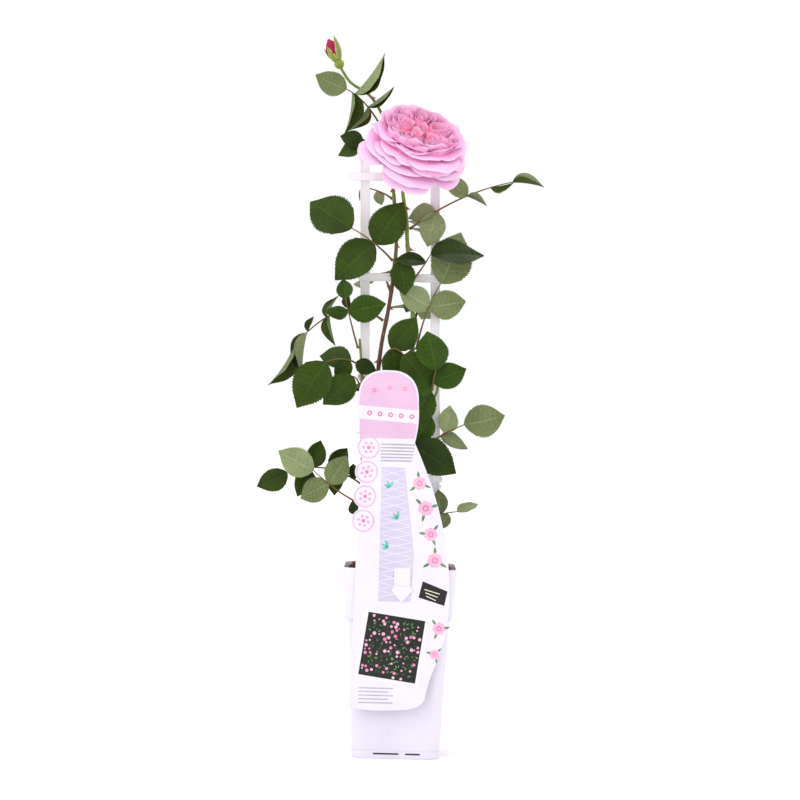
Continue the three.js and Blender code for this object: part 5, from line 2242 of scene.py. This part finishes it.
@dataclass
class Studio:
    """The pale floor, the broad soft lights and the camera."""

    height: float = 376.3
    across: float = -4.7
    distance: float = 2771.6
    roll: float = 1.5
    lens: float = 117.0

    def camera(self) -> Item:
        """Set up the camera level with the middle of the plant.

        Returns:
            The camera.
        """
        data = bpy.data.cameras.new("camera")
        data.lens = self.lens
        data.sensor_width = 36
        data.clip_end = 30
        item = bpy.data.objects.new("camera", data)
        turn = radians(self.roll)
        right = Vector((cos(turn), 0, sin(turn)))
        up = Vector((-sin(turn), 0, cos(turn)))
        back = right.cross(up)
        frame_axes = Matrix((right, up, back)).transposed().to_4x4()
        stand = mm((self.across, -self.distance, self.height))
        item.matrix_world = Matrix.Translation(stand) @ frame_axes
        bpy.context.scene.collection.objects.link(item)
        bpy.context.scene.camera = item
        return item

    def sun(self, name: str, aim: Sequence[float], strength: float, spread: float) -> None:
        """Add one broad soft light from far away, which falls evenly on everything.

        Args:
            name: Its name.
            aim: The way that its light travels.
            strength: Its strength in watts a square metre.
            spread: How wide it looks, in degrees.
        """
        data = bpy.data.lights.new(name, "SUN")
        data.energy = strength
        data.angle = radians(spread)
        item = bpy.data.objects.new(name, data)
        item.rotation_euler = Vector(aim).to_track_quat("-Z", "Y").to_euler()
        bpy.context.scene.collection.objects.link(item)

    def floor(self) -> None:
        """Lay the pale floor."""
        mesh = bpy.data.meshes.new("floor")
        reach = 14.0
        corners = [(-reach, -reach, 0), (reach, -reach, 0), (reach, reach, 0), (-reach, reach, 0)]
        mesh.from_pydata(corners, [], [(0, 1, 2, 3)])
        graph = NodeGraph("floor_paper")
        shade = graph.ramp(graph.noise(3, 2), [(0.3, (0.93, 0.93, 0.93)), (0.7, (0.95, 0.95, 0.95))])
        paper = graph.surface(shade, 0.95, Specular_IOR_Level=0.0, Emission_Strength=0.05)
        graph.shader.inputs["Emission Color"].default_value = (1, 1, 1, 1)
        mesh.materials.append(paper)
        item = bpy.data.objects.new("floor", mesh)
        bpy.context.scene.collection.objects.link(item)
        item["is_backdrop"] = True

    def build(self) -> None:
        """Build the studio."""
        scene = bpy.context.scene
        world = bpy.data.worlds.new("studio")
        world.use_nodes = True
        sky = world.node_tree.nodes["Background"]
        sky.inputs["Color"].default_value = (1, 1, 1, 1)
        sky.inputs["Strength"].default_value = 1.0
        scene.world = world
        scene.view_settings.view_transform = "Standard"
        scene.view_settings.look = "None"
        self.camera()
        self.sun("key", (0.55, 0.75, -0.85), 0.75, 50)
        self.sun("rim", (-0.5, -0.7, -0.8), 0.35, 60)
        self.floor()


# ---- the whole scene


INKS = {
    "white": ("#ebe5f5", "#e5dff0"),
    "pink": ("#e6bfdd", "#dfb5d6"),
    "pink_line": ("#e7b6d8", "#dfa5cf"),
    "rose": ("#e58fb6", "#d9709f"),
    "petal": ("#f4bfd6", "#eaa5c5"),
    "cream": ("#f4efdc", "#e9e2c8"),
    "grey": ("#bdbcc4", "#a9a8b2"),
    "leaf_ink": ("#6f9a5a", "#4f7d44"),
    "leaf_shade": ("#395636", "#2a432b"),
    "wash": ("#d6cee4", "#ccc4dc"),
    "turquoise": ("#7fcfc2", "#63bdb0"),
    "dark_green": ("#0f190e", "#080d09"),
    "border": ("#efebf2", "#e9e5ed"),
    "charcoal": ("#131116", "#0b0a0d"),
}


def finishes() -> dict[str, Material]:
    """Make every finish of the plant.

    Returns:
        The materials by name.
    """
    plans = [
        LeafFinish("leaf_top", "#2b3d0b", "#374d0f", 0.42, specular=0.12),
        LeafFinish("vein_top", "#394c18", "#445a1e", 0.5, specular=0.1),
        LeafFinish("leaf_deep", "#1f2f0a", "#2b3f0d", 0.4, specular=0.13),
        LeafFinish("vein_deep", "#2c3d14", "#374b19", 0.48, specular=0.1),
        LeafFinish("leaf_bright", "#29400c", "#3a5711", 0.4, specular=0.12),
        LeafFinish("vein_bright", "#3d581a", "#4d6b22", 0.5, specular=0.1),
        LeafFinish("leaf_under", "#7d8960", "#8e9a70", 0.85, sheen=0.06, specular=0.08),
        LeafFinish("vein_under", "#959f76", "#a5ad87", 0.85, specular=0.08),
        LeafFinish("leaf_olive", "#67734a", "#79855a", 0.85, sheen=0.08, specular=0.08),
        LeafFinish("vein_olive", "#828c62", "#929c73", 0.85, specular=0.08),
        LeafFinish("stalk", "#6d6034", "#7a4c38", 0.55, specular=0.2),
        LeafFinish("stalk_green", "#66752f", "#7c873e", 0.55, specular=0.2),
        LeafFinish("stipule", "#71803c", "#8f9455", 0.6, specular=0.2),
        BarkFinish("bark_green", "#66783a", "#7f8a48", "#9a9a6a"),
        BarkFinish("bark_ripe", "#5e4530", "#5f332b", "#95795c"),
        BarkFinish("prickle", "#8e3b30", "#b0604a", "#c79a7a", "#9a5a3c"),
        LeafFinish("sepal", "#7d9038", "#9cab4c", 0.6, sheen=0.1, specular=0.2),
        LeafFinish("sepal_edge", "#a9b072", "#c6c493", 0.7, sheen=0.2, specular=0.15),
        PlasticFinish("pot_plastic", "#e9e3f0", "#e1dae9", 0.36),
        # slot_shadow is painted shadow: the dark of the drainage slots' mouths on the pot's foot
        PlasticFinish("slot_shadow", "#3d3740", "#2b262d", 0.8),
        PlasticFinish("ladder_plastic", "#fbf8fd", "#f3eff6", 0.4),
        SoilFinish("compost", "#33201a", "#6b4636"),
        SoilFinish("compost_crumb", "#4a2f25", "#84604c"),
        SoilFinish("compost_grit", "#a39a90", "#c9c2b8"),
    ]
    heart = mm(BLOOM_CENTRE) - Vector(BLOOM_AXIS).normalized() * (4 * MM)
    core = mm((-85, -8, 742))
    petals = [
        PetalFinish("petal_outer", "#faa9d4", "#fcc6ee", "#f5d2f3", heart, 0.064, (0.5, 0.78, 1.0), 0.1),
        PetalFinish("petal_middle", "#ff93b6", "#ffb6df", "#fecaf0", heart, 0.06, (0.44, 0.66, 0.98), 0.1),
        PetalFinish("petal_heart", "#ff8cab", "#ffb8d9", "#ffcbea", heart, 0.044, (0.36, 0.62, 0.95), 0.0),
        PetalFinish("petal_edge", "#ffb6d4", "#fec8e6", "#f9d6f1", heart, 0.06, (0.4, 0.7, 1.0), 0.0),
        PetalFinish("petal_bud", "#8c0f3a", "#ad1a4c", "#c43a68", core, 0.02, (0.3, 0.7, 1.0), 0.1),
    ]
    prints = [PrintFinish(f"card_{name}", *tints) for name, tints in INKS.items()]
    return {plan.name: plan.build() for plan in [*plans, *prints, *petals]}


def report(items: Sequence[Item]) -> None:
    """Write one line for each piece with its size."""
    for item in items:
        LOG.info("%-28s %7d faces", item.name, len(item.data.polygons))


def main() -> None:
    """Build every piece in order."""
    logging.basicConfig(level=logging.INFO, format="%(name)s: %(message)s")
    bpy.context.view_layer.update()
    made = finishes()
    Studio().build()
    Pot(made["pot_plastic"], made["slot_shadow"]).build()
    Soil(made["compost"], made["compost_crumb"], made["compost_grit"]).build()
    Ladder(made["ladder_plastic"]).build()
    inks = {name.removeprefix("card_"): item for name, item in made.items() if name.startswith("card_")}
    Card(inks).build()
    scars = {cane.name: [p.start * MM for p in LEAVES if p.cane == cane.name] for cane in CANES}
    for cane in CANES:
        bark = made["bark_ripe" if cane.ripe else "bark_green"]
        CaneBuilder(bark, made["prickle"]).build(cane, scars[cane.name])
    LeafGrower(made, {cane.name: cane for cane in CANES}).build()
    Bloom([made[f"petal_{part}"] for part in ("outer", "middle", "heart", "edge")]).build()
    bloom_axis = Vector(BLOOM_AXIS).normalized()
    bloom_foot = mm(BLOOM_CENTRE) - bloom_axis * (40.6 * MM)
    green = made["sepal"], made["sepal_edge"]
    Calyx("bloom_calyx", bloom_foot, bloom_axis, 5.6 * MM, 13 * MM, 24 * MM, 4.6, 0.2, *green).build()
    bud_foot = mm((-76.25, -8, 726.4))
    bud_axis = Vector((-0.42, 0, 0.9)).normalized()
    shares = (1, 1.3, 0.95, 0.9, 1.3)
    sizes = 5.4 * MM, 10 * MM, 19 * MM
    Calyx("bud_calyx", bud_foot, bud_axis, *sizes, 0.86, -0.46, *green, 0.2, shares).build()
    Bud(bud_foot, bud_axis, made["petal_bud"]).build()
    report([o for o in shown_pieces() if o.type == "MESH"])
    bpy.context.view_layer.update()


if __name__ == "__main__":
    main()
